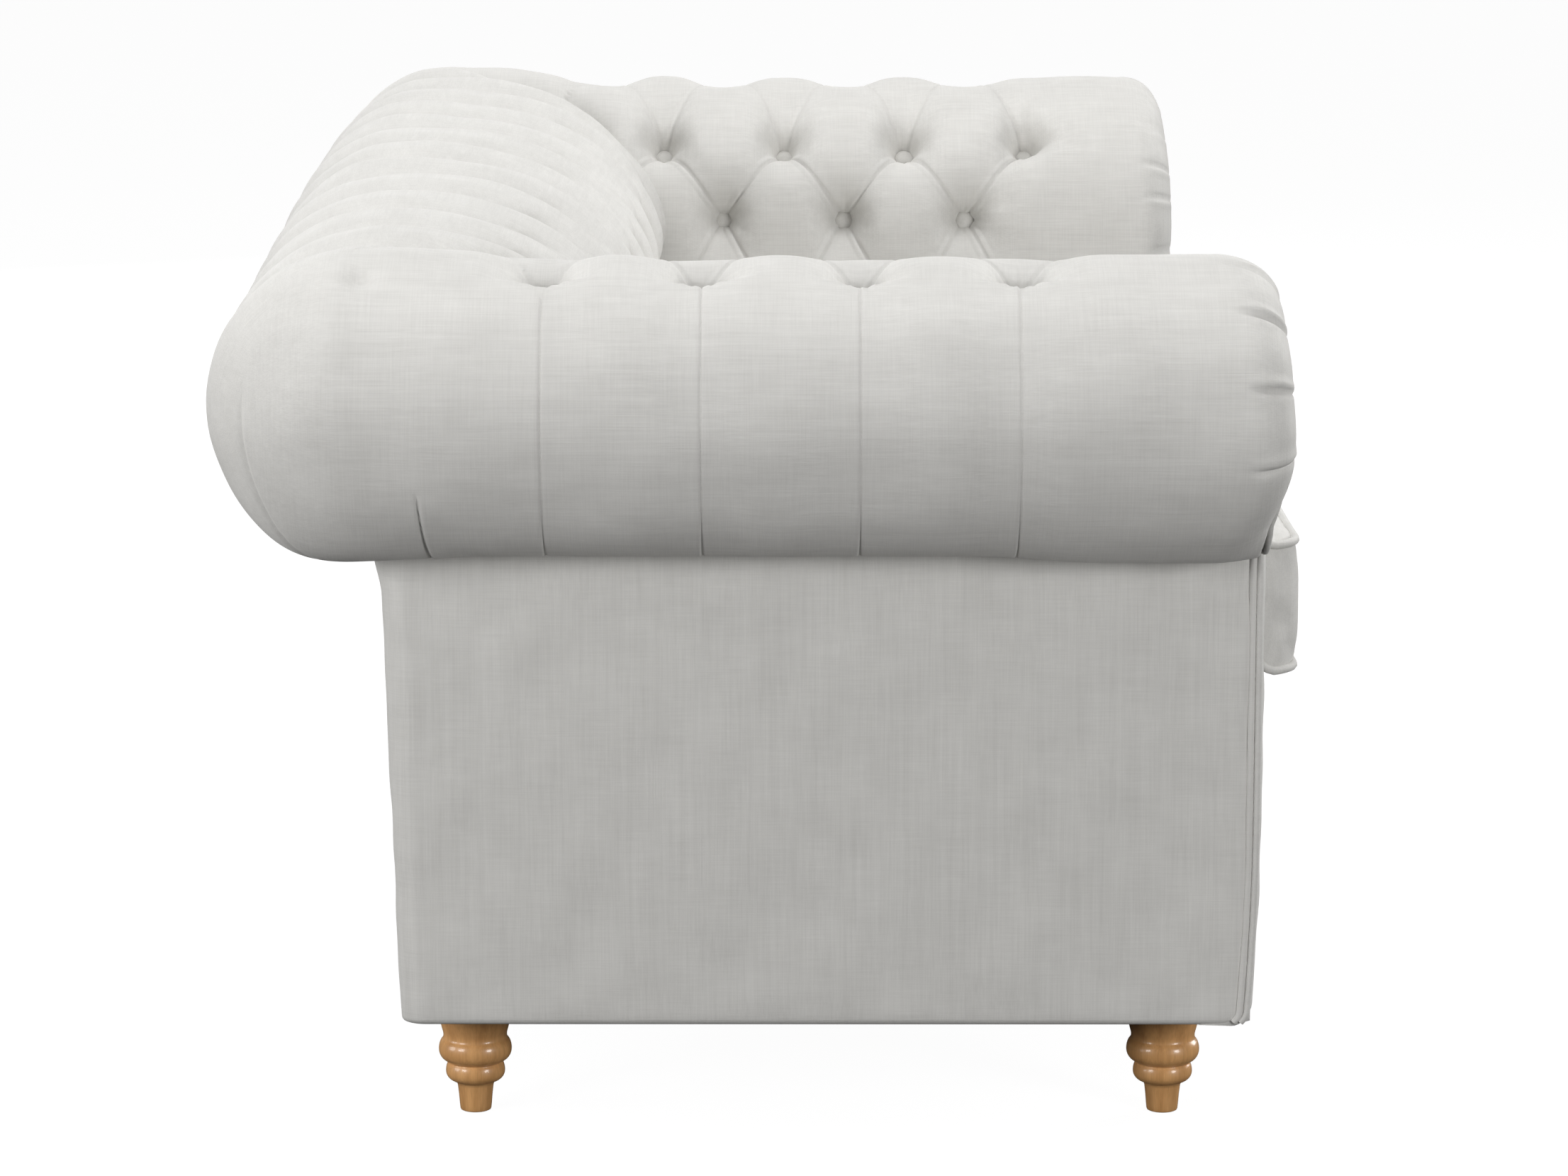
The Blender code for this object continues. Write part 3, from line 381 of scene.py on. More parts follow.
def piece(name, mesh, look, slot, body, *nodes):
    """Make a piece that rides on a body and stands for some solids."""
    made = placed(name, mesh)
    mesh.materials.append(look)
    mesh.shade_smooth()
    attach(made, body)
    if nodes:
        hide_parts(*nodes)
    return made


def grid_faces(rows, columns, closed=False):
    """Corner numbers of the quads of a grid of points, row after row."""
    first = np.arange(rows - 1)[:, None] * columns
    across = np.arange(columns if closed else columns - 1)[None, :]
    ahead = (across + 1) % columns
    return np.stack([first + across, first + ahead, first + columns + ahead, first + columns + across],
                    -1).reshape(-1, 4)


def mesh_of(name, points, faces, flip=False):
    """Build a mesh from points and faces."""
    mesh = bpy.data.meshes.new(name)
    if flip:
        faces = [face[::-1] for face in faces]
    corners = [list(map(int, face)) for face in faces]
    mesh.from_pydata(np.asarray(points).reshape(-1, 3).tolist(), [], corners)
    mesh.update()
    return mesh


def sheet(name, points, look, node, flip=False, slot="linen"):
    """Make a piece of the sofa from a grid of points."""
    mesh = mesh_of(name, points, grid_faces(*points.shape[:2]), flip)
    return piece(name, mesh, look, slot, "sofa", node)


def smooth(share):
    share = np.clip(share, 0.0, 1.0)
    return share * share * (3 - 2 * share)


def mix(low, high, share):
    return low + (high - low) * share


def bell(value, width, power=2.0):
    return np.exp(-(value / width) ** power)


def quarter_turn(count):
    return np.linspace(0, math.pi / 2, count)


def ripple(first, second, size, waves=9):
    """Gentle unevenness over two coordinates in metres, from a sum of seeded waves."""
    total = np.zeros(np.broadcast(first, second).shape)
    for _ in range(waves):
        turn = rng.uniform(0, 2 * math.pi)
        length = rng.uniform(0.045, 0.16)
        phase = rng.uniform(0, 2 * math.pi)
        way = first * math.cos(turn) + second * math.sin(turn)
        total = total + np.sin(2 * math.pi / length * way + phase)
    return size * total / math.sqrt(waves)


# Outline of the padding

def profile(station):
    """Offset outwards and height of the padding's crest at stations."""
    station = np.asarray(station, float)
    degrees = np.interp(station, (-1, 0, 1, 2), (UNDER_ANGLE, *ROW_ANGLES))
    angle = np.radians(degrees)
    rise = SOFA_HEIGHT - SHOULDER_HEIGHT
    under = np.clip((-degrees - UNDER_SWELL_START) / (-UNDER_ANGLE - UNDER_SWELL_START), 0, 1)
    radius = ROLL_RADIUS + UNDER_SWELL * np.sin(math.pi * under) ** 2
    on_roll = angle <= math.pi / 2
    offset = np.where(on_roll, radius, ARM_INNER) * np.cos(angle)
    height = np.where(on_roll, ROLL_Z + radius * np.sin(angle), SHOULDER_HEIGHT + rise * np.sin(angle))
    low_row = SHOULDER_HEIGHT + rise * math.sin(math.radians(ROW_ANGLES[2]))
    below = mix(low_row, DECK_HEIGHT, station - 2)
    over = np.clip((below - SHOULDER_HEIGHT) / rise, 0, 1)
    lean = FACE_LEAN * np.clip((SHOULDER_HEIGHT - below) / (SHOULDER_HEIGHT - DECK_HEIGHT), 0, 1)
    face = -ARM_INNER * np.sqrt(1 - over ** 2) - lean
    return np.where(station <= 2, offset, face), np.where(station <= 2, height, below)


def sunk(station, depth):
    """Points of the profile moved into the padding by a depth."""
    step = 0.001
    station = np.asarray(station, float)
    before = profile(np.maximum(station - step, -1.0))
    after = profile(np.minimum(station + step, 3.0))
    along = after[0] - before[0], after[1] - before[1]
    length = np.hypot(*along)
    offset, height = profile(station)
    return offset - along[1] / length * depth, np.maximum(height + along[0] / length * depth, DECK_HEIGHT)


FINE = np.linspace(-1, 3, 4001)
FINE_ARC = np.concatenate([[0.0], np.cumsum(np.hypot(*(np.diff(line) for line in profile(FINE))))])


def arc(station):
    """Way round the profile, in metres from the top row of an arm."""
    return np.interp(station, FINE, FINE_ARC) - np.interp(0.0, FINE, FINE_ARC)


FOLD_END = 2 + ROW_SPAN / float(arc(3.0) - arc(2.0))


def stretch(offset):
    """Offset from the back roll's centre line that matches an offset on an arm."""
    return np.where(offset > POST_OUT, offset, POST_OUT + (offset - POST_OUT) * BACK_STRETCH)


def stations_for(rows):
    """Stations of a cover whose rows of buttons lie at some stations, from the outside in."""
    top, middle, low = rows
    outside = int(round((float(arc(top)) - float(arc(-1.0))) / ROW_SPACING))
    ways = np.linspace(float(arc(-1.0)), float(arc(top)), outside + 1)
    fold_end = mix(low, 3.0, FOLD_END - 2)
    return np.unique(np.concatenate([
        np.interp(ways, arc(FINE), FINE), np.linspace(top, middle, ROW_STEPS + 1),
        np.linspace(middle, low, ROW_STEPS + 1), np.linspace(low, fold_end, ROW_STEPS + 1),
        np.linspace(fold_end, 3, ROW_STEPS // 2)]).round(9))


def level(station, rows):
    """Stations counted by rows of buttons: nought at the top row, one at the middle row and so on."""
    return np.interp(station, (-1, *rows, 3), (-1, 0, 1, 2, 3))


def under_share(station):
    return smooth((1 + station) / UNDER_STATIONS)


def dome_share(station):
    return smooth((station + 1) / DOME_STATIONS)


def front_fall(height):
    """How far an arm's domed front lies behind its foremost point."""
    away = ((height - DOME_HEIGHT) / ROLL_RADIUS) ** 2
    low = np.minimum(LOW_FALL * away, FACING_SETBACK - RIM_STEP)
    return np.where(height > DOME_HEIGHT, HIGH_FALL * away, low)


def front_hang(y, station):
    """How far the underside of an arm's roll hangs towards its front."""
    return FRONT_HANG * bell(station + 0.88, 0.09) * smooth((-0.17 - y) / 0.12)


def corner_hang(left, station):
    """Fullness under the corner of the rolls, near a mitre."""
    return CORNER_HANG * bell(station + 0.80, 0.13) * smooth(1 - left / 0.14)


def swell_rows(station):
    """Share of a roll's swell at stations: full on the outside, nought below and on the inside."""
    return smooth((station + 1.0) / 0.35) * smooth((0.5 - station) / 0.7)


def back_swell(x):
    """Swell of the back roll along its length."""
    rise = smooth((x + ROLL_X) / (BACK_SWELL_X + ROLL_X))
    fall = smooth((x - BACK_SWELL_X) / (ROLL_X - BACK_SWELL_X))
    return mix(mix(CORNER_SWELLS["left"], BACK_SWELL, rise), CORNER_SWELLS["right"], fall)


# Buttoning

def fold_row(row):
    """Row of the buttoning: 0 top, 1 middle, 2 low, 3 where the last folds end."""
    low = 2 + (row - 2) / (FOLD_END - 2)
    return np.clip(np.where(row > 2, low, row), 0, 3)


def button_pits(column, way, buttons, rows):
    """Depth of the pits round the buttons, and the way to the nearest button."""
    nearest = np.full(np.broadcast(column, way).shape, np.inf)
    pits = 0.0
    for button_column, button_row in buttons:
        across = (column - button_column) * BUTTON_PITCH
        up = way - float(arc(rows[button_row])) + float(arc(rows[0]))
        far = np.hypot(across, up)
        nearest = np.minimum(nearest, far)
        phase = 2.4 * button_column + 1.7 * button_row
        gather = 0.5 + 0.5 * np.cos(GATHER_WAVES * np.arctan2(up, across) + phase)
        size = np.where(up < 0, OUTER_PIT_SIZE, PIT_SIZE) if button_row == 0 else PIT_SIZE
        pits = pits + PIT_DEPTH * bell(np.maximum(far - BUTTON_SEAT, 0), size, PIT_POWER)
        pits = pits + GATHER_DEPTH * gather * bell(far - GATHER_RING, GATHER_WIDTH)
    return pits, nearest


def fold_creases(folds, nearest):
    """Depth of the creases along two families of folds."""
    near = bell(nearest, CREASE_REACH) * smooth((nearest - BUTTON_SEAT) / CREASE_START)
    crease = 0.0
    for value in folds:
        across = (value - np.round(value)) * BUTTON_PITCH * CREASE_SLANT
        beside = 0.5 * near * bell(across - SECOND_CREASE, SECOND_WIDTH)
        crease = crease + (CREASE_DEPTH * near + CREASE_REST) * (bell(across, CREASE_WIDTH) + beside)
    return crease


def pleats(column, way, columns):
    """Fine lapped pleats that run from the top row's buttons down the outside of a roll."""
    nearest = np.clip(np.round(column), 0, columns - 1)
    across = (column - nearest) * BUTTON_PITCH
    groove = PLEAT_DEPTH * bell(across, PLEAT_WIDTH)
    lip = PLEAT_LIP * np.exp(-np.maximum(across, 0) / LIP_LENGTH) * smooth(across / LIP_RISE)
    return np.where(way < 0, (groove - lip) * smooth(-way / PLEAT_START), 0.0)


def tuft(column, station, columns, buttons, rows):
    """Depth of the cover below the padding's crest, from its buttons, folds and pleats."""
    on_back = rows == BACK_ROWS
    row = level(station, rows)
    fold = fold_row(row)
    rising = column + fold / 2
    falling = column - fold / 2
    # Past the outermost folds the cover goes plain
    before = np.where(fold < 1, -rising, np.where(fold < 2, -1 - falling, 1 - rising))
    after = np.where(fold < 1, falling - columns + 1,
                     np.where(fold < 2, rising - columns, falling - columns + 2))
    plain = np.maximum(before, after)
    first = np.where(plain > 0, plain, rising)
    second = np.where(plain > 0, fold, falling)
    wave = (np.cos(2 * math.pi * first) + np.cos(2 * math.pi * second)) / 2
    pillow = PILLOW_DEPTH * ((1 + wave) / 2) ** mix(TOP_POWER, PILLOW_POWER, smooth(row / 0.6))
    pillow = pillow * (1 + TOP_PILLOW * bell(row - 0.25, 0.35))
    way = arc(station) - float(arc(rows[0]))
    pits, nearest = button_pits(column, way, buttons, rows)
    inside = (pillow + fold_creases((first, second), nearest)) * (1 - smooth(plain / 0.5))
    if on_back:
        inside = inside * mix(BACK_CALM, 1.0, smooth((row - 0.5) / 0.6))
    top_depth = BACK_TOP_SHARE if on_back else TOP_ROW_SHARE
    share = mix(top_depth, BACK_LOW_SHARE if on_back else 1.0, np.clip(row, 0, 1))
    shown = (inside + pits) * share * mix(1.0, DECK_CALM, smooth((row - 2.1) / 0.7))
    # Outside the top row the cover draws in along its pleats
    spare = 1.5 if on_back else 0.5
    ends = smooth((column + spare) / 0.6) * smooth((columns - 1 + spare - column) / 0.6)
    if on_back:
        drawn = BACK_RIPPLE * (1 - np.abs(np.sin(math.pi * column))) ** BACK_RIDGE_POWER * ends
    else:
        drawn = ARM_RIPPLE * np.cos(math.pi * column) ** 2 * ends
    beside_row = bell(way, OUTER_PIT_SIZE)
    hidden = (inside * beside_row + pits) * top_depth + drawn * (1 - beside_row)
    depth = np.where(row < 0, hidden * under_share(station), shown)
    return depth + pleats(column, way, columns)


def seam_depth(station):
    outer = OUTER_SEAM_DEPTH * smooth((-0.30 - station) / 0.15)
    return mix(outer, SEAM_DEPTH, smooth((station - 0.35) / 0.9)) * under_share(station)


def sewn(depth, left, station):
    """Depth of a cover that goes down to its seam at a mitre."""
    fade = mix(OUTER_MITRE_FADE, MITRE_FADE, smooth(station + 0.3))
    return mix(seam_depth(station), depth, smooth(left / fade))


def corner_marks(column, station):
    """Marks at the rear end of an arm's roll: a dimple on the corner and a short pleat below it."""
    dimple_column, dimple_way, dimple_depth, dimple_size = 4.15, -0.010, 0.008, 0.012
    pleat_column, pleat_slant, pleat_middle, pleat_top = 3.750, 0.18, -0.75, -0.575
    groove_depth, groove_width, lip_height, lip_length = 0.0020, 0.0013, 0.0014, 0.012
    far = np.hypot((column - dimple_column) * BUTTON_PITCH, arc(station) - dimple_way)
    dimple = dimple_depth * bell(far, dimple_size, PIT_POWER)
    across = (column - pleat_column - pleat_slant * (station - pleat_middle)) * BUTTON_PITCH
    groove = groove_depth * bell(across, groove_width)
    lip = lip_height * np.exp(-np.maximum(-across, 0) / lip_length) * smooth(-across / LIP_RISE)
    return dimple + (groove - lip) * smooth((pleat_top - station) / 0.04) * smooth((station + 1) / 0.02)


def toward_mitre(offset, start, pivot, end, share):
    """Turn, way along and way left, a share of the way to a mitre. The outside of a corner is rounded."""
    inside = offset <= 0
    safe = np.where(inside, 1.0, offset)
    length = np.where(inside, end - start, pivot - start + safe * math.pi / 4)
    beyond = start + length * share - pivot
    turn = np.where(inside, 0.0, np.maximum(beyond, 0.0) / safe)
    along = np.where(inside, start + length * share, pivot + np.minimum(beyond, 0.0))
    return turn, along, length * (1 - share)


def columns_between(first, last, fine_at):
    """Even places from first to last, with extra ones close beside some places."""
    spacing = BUTTON_PITCH / PITCH_POINTS
    places = list(first + spacing * np.arange(int((last - first) / spacing) + 1))
    for middle in fine_at:
        places += [middle + step for step in BESIDE_PLEAT if first < middle + step < last]
    return np.array(sorted(places))


def padding_faces(columns, rows, column_values, levels):
    """Triangles of a pad's cover whose diagonals follow the folds between its buttons."""
    quads = grid_faces(columns, rows)
    row = fold_row(levels)
    middle = (column_values[:-1, :-1] + column_values[1:, 1:]) / 2
    middle_row = ((row[:-1] + row[1:]) / 2)[None, :]
    rising = np.abs(np.sin(math.pi * (middle + middle_row / 2)))
    falling = np.abs(np.sin(math.pi * (middle - middle_row / 2)))
    use_rising = (rising < falling).reshape(-1, 1)
    one = np.where(use_rising, quads[:, [0, 1, 3]], quads[:, [0, 1, 2]])
    two = np.where(use_rising, quads[:, [1, 2, 3]], quads[:, [0, 2, 3]])
    return np.concatenate([one, two])


def lifted(points, lift):
    """Move the points of a grid along its own normals."""
    normal = np.cross(np.gradient(points, axis=0), np.gradient(points, axis=1))
    normal = normal / np.maximum(np.linalg.norm(normal, axis=-1, keepdims=True), 1e-12)
    return points + normal * lift[..., None]


def cover(name, grid, column_values, stations, rows, axis, fade, first_columns, look, node, flip=False):
    """Make a padding's cover from its columns of points, with faint waves that fade towards its ends."""
    points = np.array(grid)
    index = np.arange(len(points))
    ends = smooth(index / first_columns) * smooth((len(points) - 1 - index) / FADE_COLUMNS)
    uneven = ripple(points[..., axis], arc(stations)[None, :] + 0 * points[..., axis], COVER_UNEVEN)
    points = lifted(points, uneven * fade[None, :] * ends[:, None])
    faces = padding_faces(len(points), len(stations), np.array(column_values), level(stations, rows))
    made = piece(name, mesh_of(name, points, faces, flip), look, "linen", "sofa", node)


def button_places(columns, limit):
    """Columns and rows of the buttons that stay clear of the mitres."""
    places = []
    for row in range(3):
        start = -0.5 if row == 1 else 0.0
        count = columns + 1 if row == 1 else columns
        places += [(start + index, row) for index in range(count) if limit(start + index, row)]
    return places


def covered_buttons(name, places):
    """Make covered buttons at points, each with the direction it faces."""
    rings = 7
    sides = 20
    angles = np.linspace(0, math.pi * BUTTON_WRAP, rings)[:, None, None]
    turns = np.linspace(0, 2 * math.pi, sides, endpoint=False)[None, :, None]
    points = []
    faces = []
    for index, (place, facing) in enumerate(places):
        facing = Vector(facing).normalized()
        side = facing.orthogonal().normalized()
        around = np.array(side) * np.cos(turns) + np.array(facing.cross(side)) * np.sin(turns)
        dome = np.array(facing) * BUTTON_HEIGHT * np.cos(angles) + around * BUTTON_RADIUS * np.sin(angles)
        points.append((np.array(place) + dome).reshape(-1, 3))
        faces.append(grid_faces(rings, sides, closed=True) + index * rings * sides)
    piece(name, mesh_of(name, np.concatenate(points), np.concatenate(faces)), LINEN_X, "linen", "sofa")


def button_seat(station, depth, lift):
    """Offset and height of a button, and of a point straight below it."""
    offset, height = sunk(station, depth - lift)
    deeper, deeper_height = sunk(station, depth + 0.01)
    return offset[0], height[0], deeper[0], deeper_height[0]


# Arms

def front_gathers(stations):
    """How far the gathers round the front of an arm draw in at stations, as shares of their depth."""
    # Share, place and width of a gather's crease and of the two swells beside it
    waves = ((1.0, 0.0, 0.0026), (-0.45, 0.007, 0.005), (-0.2, 0.034, 0.018))
    gather = np.zeros_like(stations)
    for place in GATHER_STATIONS:
        across = arc(stations) - arc(stations[np.argmin(np.abs(stations - place))])
        for share, beside, width in waves:
            gather = gather + share * bell(across - beside, width)
    return gather * mix(1.0, INNER_GATHER_SHARE, smooth((stations - 0.2) / 0.2))


def arm_front(side_name, stations, sag, start_y):
    """Offsets, places along Y and heights of the rounded front, from the facing to the plain roll."""
    dome = dome_share(stations)
    gather = front_gathers(stations)
    longer = 1 + TOP_ROUNDS[side_name] * bell(stations - 0.30, 0.40)
    tucked = smooth((stations - 2.40) / 0.45)
    border_y = BORDER_Y + BORDER_TUCK
    rim_y = FRAME_FRONT_Y - GAP
    # Depth inside the crest, place along Y and share of the dome's fall
    front = [(RIM_INSET, rim_y, 0.0), (0.5 * (RIM_INSET + FRONT_ROUND), ARM_FRONT_Y + 0.004, 1.0)]
    for angle in quarter_turn(FRONT_STEPS + 1):
        front.append((FRONT_ROUND * (1 - math.sin(angle)),
                      ARM_FRONT_Y + FRONT_ROUND * (1 - math.cos(angle)), 1.0))
    columns = []
    for index, (inset, front_y, falls) in enumerate(front):
        plain_y = mix(rim_y, start_y, index / (len(front) + PLAIN_STEPS))
        pull = RIM_GATHER * gather * math.sin(math.pi * index / len(front)) ** 0.8
        offset, height = sunk(stations, (inset + pull) * dome + sag - front_hang(plain_y, stations))
        rounded_y = ARM_FRONT_Y + (front_y - ARM_FRONT_Y) * (longer if index > 1 else 1.0)
        y = mix(plain_y, rounded_y + falls * front_fall(height) + 0.6 * pull, dome)
        columns.append((offset, mix(y, np.maximum(y, border_y), tucked), height))
    edge_y = columns[-1][1]
    for index in range(1, PLAIN_STEPS):
        y = mix(edge_y, start_y, index / PLAIN_STEPS)
        offset, height = sunk(stations, sag - front_hang(y, stations))
        columns.append((offset, y, height))
    return columns


def arm_places(stations, seam, start_y, inner_end, pleat_ys):
    """Starts and shares of the way to the mitre of an arm's columns, behind its front."""
    corner_steps = 128
    past_pleat = 0.03
    straight = columns_between(start_y, inner_end, pleat_ys)
    inner_end = straight[-1]
    # The outside keeps even columns until past the last pleat
    even_end = pleat_ys[-1] + past_pleat
    even = columns_between(inner_end, even_end, pleat_ys[-1:])[1:]
    turns = [0.5 * (y - inner_end) / (even_end - inner_end) for y in even]
    turns += list(np.linspace(0.5, 1, corner_steps)[1:])
    ends = (even_end - inner_end) / (ROLL_Y - inner_end + np.maximum(seam, 0) * math.pi / 4)
    outer = smooth(-stations / 0.12)
    places = [(y, 0.0) for y in straight]
    for turn in turns:
        bent = ends * turn / 0.5 if turn < 0.5 else mix(ends, 1.0, (turn - 0.5) / 0.5)
        places.append((inner_end, mix(turn, bent, outer)))
    return places


def arm_cover(side_name):
    """Make the buttoned cover of one arm, with its front rim, and its buttons."""
    side = SIDES[side_name]
    stations = stations_for(ARM_ROWS)
    first_y = FIRST_BUTTON_Y
    start_y = first_y - BUTTON_PITCH
    columns = int((BACK_Y - 2 * ROLL_RADIUS - first_y) / BUTTON_PITCH) + 1
    pleat_ys = [first_y + column * BUTTON_PITCH for column in range(columns)]
    seam = sunk(stations, seam_depth(stations))[0]
    mitre = ROLL_Y + stretch(seam)
    sag = ARM_SAG * smooth((stations + 0.45) / 0.45) * smooth((1.2 - stations) / 0.7)
    buttons = button_places(columns, lambda column, row: first_y + column * BUTTON_PITCH
                            < float(np.interp(ARM_ROWS[row], stations, mitre)) - MITRE_CLEARANCE)
    grid = []
    column_values = []
    for offset, y, height in arm_front(side_name, stations, sag, start_y):
        grid.append(np.stack([side * (ROLL_X + offset), y, height], -1))
        column_values.append((y - first_y) / BUTTON_PITCH)
    inner_end = float(mitre.min()) - CORNER_START
    for start, share in arm_places(stations, seam, start_y, inner_end, pleat_ys):
        turn, y, left = toward_mitre(seam, start, ROLL_Y, mitre, share)
        column = (y + seam * turn - first_y) / BUTTON_PITCH
        depth = tuft(column, stations, columns, buttons, ARM_ROWS) + corner_marks(column, stations)
        swell = CORNER_SWELLS[side_name] * swell_rows(stations) * smooth(1 - left / CORNER_SWELL_FADE)
        swell = swell + corner_hang(left, stations) + front_hang(y, stations)
        depth = sewn(depth, left, stations) + sag * smooth(left / ARM_SAG_FADE)
        offset, height = sunk(stations, depth - swell)
        x = side * (ROLL_X + offset * np.cos(turn))
        grid.append(np.stack([x, y + offset * np.sin(turn), height], -1))
        column_values.append(column)
    cover(side_name + "_arm_cover", grid, column_values, stations, ARM_ROWS, 1, dome_share(stations),
          FRONT_FADE_COLUMNS, LINEN_Y, side_name + "_arm_pad", flip=side > 0)
    places = []
    for column, row in buttons:
        station = np.array([ARM_ROWS[row]])
        depth = tuft(np.array([column]), station, columns, buttons, ARM_ROWS)
        depth = depth + np.interp(station, stations, sag)
        offset, height, deeper, deeper_height = button_seat(station, depth, BUTTON_LIFT)
        place = (side * (ROLL_X + offset), first_y + column * BUTTON_PITCH, height)
        places.append((place, (side * (offset - deeper), 0.0, height - deeper_height)))
    covered_buttons(side_name + "_arm_buttons", places)


# Back

def back_cover():
    """Make the buttoned cover of the back and its buttons."""
    stations = stations_for(BACK_ROWS)
    columns = int(2 * (ROLL_X - ARM_INNER) / BUTTON_PITCH) + 1
    last_x = (columns - 1) * BUTTON_PITCH / 2
    seam = sunk(stations, seam_depth(stations))[0]
    mitre = ROLL_X + seam
    inner_end = float(mitre.min()) - CORNER_START
    buttons = button_places(columns, lambda column, row: abs(column * BUTTON_PITCH - last_x)
                            < float(np.interp(BACK_ROWS[row], stations, mitre)) - MITRE_CLEARANCE)
    corner = (np.arange(84) + 1) / 84
    steps = int(round(inner_end / (BUTTON_PITCH / PITCH_POINTS)))
    places = [(inner_end, share, -1) for share in corner[::-1]]
    places += [(x, 0.0, 1) for x in np.linspace(-inner_end, inner_end, 2 * steps + 1)]
    places += [(inner_end, share, 1) for share in corner]
    bulge = BACK_BULGE * smooth((stations - 0.1) / 0.8) * smooth((2.39 - stations) / 0.4)
    grid = []
    column_values = []
    for start, share, side in places:
        turn, x, left = toward_mitre(seam, start, ROLL_X, mitre, share)
        column = (side * (x + seam * turn) + last_x) / BUTTON_PITCH
        depth = sewn(tuft(column, stations, columns, buttons, BACK_ROWS), left, stations)
        swell = back_swell(side * x) * swell_rows(stations) + corner_hang(left, stations)
        swell = swell + bulge * smooth(left / BACK_BULGE_FADE)
        offset, height = sunk(stations, depth - swell)
        y = ROLL_Y + stretch(offset) * np.cos(turn)
        grid.append(np.stack([side * (x + offset * np.sin(turn)), y, height], -1))
        column_values.append(column)
    cover("back_cover", grid, column_values, stations, BACK_ROWS, 0, under_share(stations), FADE_COLUMNS,
          LINEN_X, "back_pad")
    places = []
    for column, row in buttons:
        x = column * BUTTON_PITCH - last_x
        station = np.array([BACK_ROWS[row]])
        left = np.interp(station, stations, mitre) - abs(x)
        swell = back_swell(x) * swell_rows(station)
        swell = swell + np.interp(station, stations, bulge) * smooth(left / BACK_BULGE_FADE)
        depth = tuft(np.array([column]), station, columns, buttons, BACK_ROWS) - swell
        lift = BUTTON_LIFT if row else BACK_TOP_LIFT
        offset, height, deeper, deeper_height = button_seat(station, depth, lift)
        facing = (0.0, stretch(offset) - stretch(deeper), height - deeper_height)
        places.append(((x, ROLL_Y + stretch(offset), height), facing))
    covered_buttons("back_buttons", places)


# Facings, panels and border

def piping(name, points, look, body="sofa", radius=PIPING_RADIUS, closed=False):
    """Make a corded edge along points."""
    curve = bpy.data.curves.new(name, "CURVE")
    curve.dimensions = "3D"
    curve.bevel_depth = radius
    curve.bevel_resolution = 3
    curve.use_fill_caps = True
    spline = curve.splines.new("POLY")
    spline.points.add(len(points) - 1)
    spline.use_cyclic_u = closed
    for item, point in zip(spline.points, points):
        item.co = (*map(float, point), 1.0)
    curve.materials.append(look)
    made = placed(name, curve)
    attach(made, body)


def front_taper(height):
    """How far the front of an arm draws back towards its foot."""
    down = np.clip((TAPER_TOP - height) / (TAPER_TOP - FOOT_HEIGHT), 0, 1)
    last = np.clip((LOWER_EDGE + FOOT_ROUND - height) / FOOT_ROUND, 0, 1)
    return FRONT_TAPER * down ** TAPER_POWER + FOOT_ROUND * (1 - np.sqrt(1 - last ** 2))


def facing_front(height):
    return ARM_FRONT_Y + RIM_STEP + front_fall(height) + front_taper(height)


def facing_edges():
    """Outer and inner edge of an arm facing as offsets and heights from low to high."""
    stations = np.linspace(-1, 3, 700)
    offset, height = sunk(stations, (RIM_INSET - FACING_SPREAD) * dome_share(stations) + 2 * GAP)
    edge = np.stack([offset, height], -1)
    top = int(np.argmax(height))
    outside = np.concatenate([[[PANEL_OFFSET, LOWER_EDGE]], edge[:top + 1]])
    inside = np.concatenate([[[float(offset[-1]), LOWER_EDGE]], edge[:top - 1:-1]])
    return outside, inside


def arm_facing(side_name):
    """Make the padded scroll facing of one arm and the piping round it."""
    side = SIDES[side_name]
    outside, inside = facing_edges()
    top = float(outside[-1, 1])
    heights = np.concatenate([LOWER_EDGE + FOOT_ROUND * (1 - np.cos(quarter_turn(8)))[:-1],
                              np.linspace(LOWER_EDGE + FOOT_ROUND, UNDER_Z, 60)[:-1],
                              UNDER_Z + (top - UNDER_Z) * np.sin(quarter_turn(70))])[:, None]
    across = np.linspace(0, 1, 25)[None, :]
    out = np.interp(heights, outside[:, 1], outside[:, 0])
    into = np.interp(heights, inside[:, 1], inside[:, 0])
    width = np.abs(out - into)
    offset = mix(out, into, across)
    edge = np.minimum(np.minimum(across, 1 - across) * width, np.maximum(top - heights, 0.0))
    y = facing_front(heights) + FACING_PUFF * (1 - smooth(edge / PUFF_WIDTH)) - 0.001
    y = y + ripple(offset, heights + 0 * offset, FACING_UNEVEN)
    # Keep in front of the frame, and turn the edges back behind the piping
    y = np.where(heights > FOOT_HEIGHT - 0.001, np.minimum(y, FRAME_FRONT_Y - 2 * GAP), y)
    inward = np.sign(into - out) * FACING_TURN_IN * np.minimum(1, width / 0.02)
    offset = np.concatenate([offset[:, :1] + inward, offset, offset[:, -1:] - inward], 1)
    y = np.concatenate([y[:, :1] + FACING_TURN_BACK, y, y[:, -1:] + FACING_TURN_BACK], 1)
    points = np.stack([side * (ROLL_X + offset), y, heights + 0 * offset], -1)
    made = sheet(side_name + "_facing_cover", points, LINEN_X, side_name + "_arm_facing", flip=side < 0)
    route = []
    for height in np.linspace(LOWER_EDGE + CORD_FOOT, UNDER_Z, 120)[:-1]:
        route.append((PANEL_OFFSET - CORD_INSET, FACING_CORD_Y + front_taper(height), height))
    for offset, height in np.concatenate([outside[1:][::6], inside[::-1][::6]]):
        inset = CORD_INSET if height < UNDER_Z + 0.02 else 0.0
        route.append((offset - inset, facing_front(height) + SCROLL_CORD_SETBACK, height))
    route = [(side * (ROLL_X + offset), y, height) for offset, y, height in route]
    piping(side_name + "_facing_piping", route, LINEN_X, radius=EDGE_CORD)


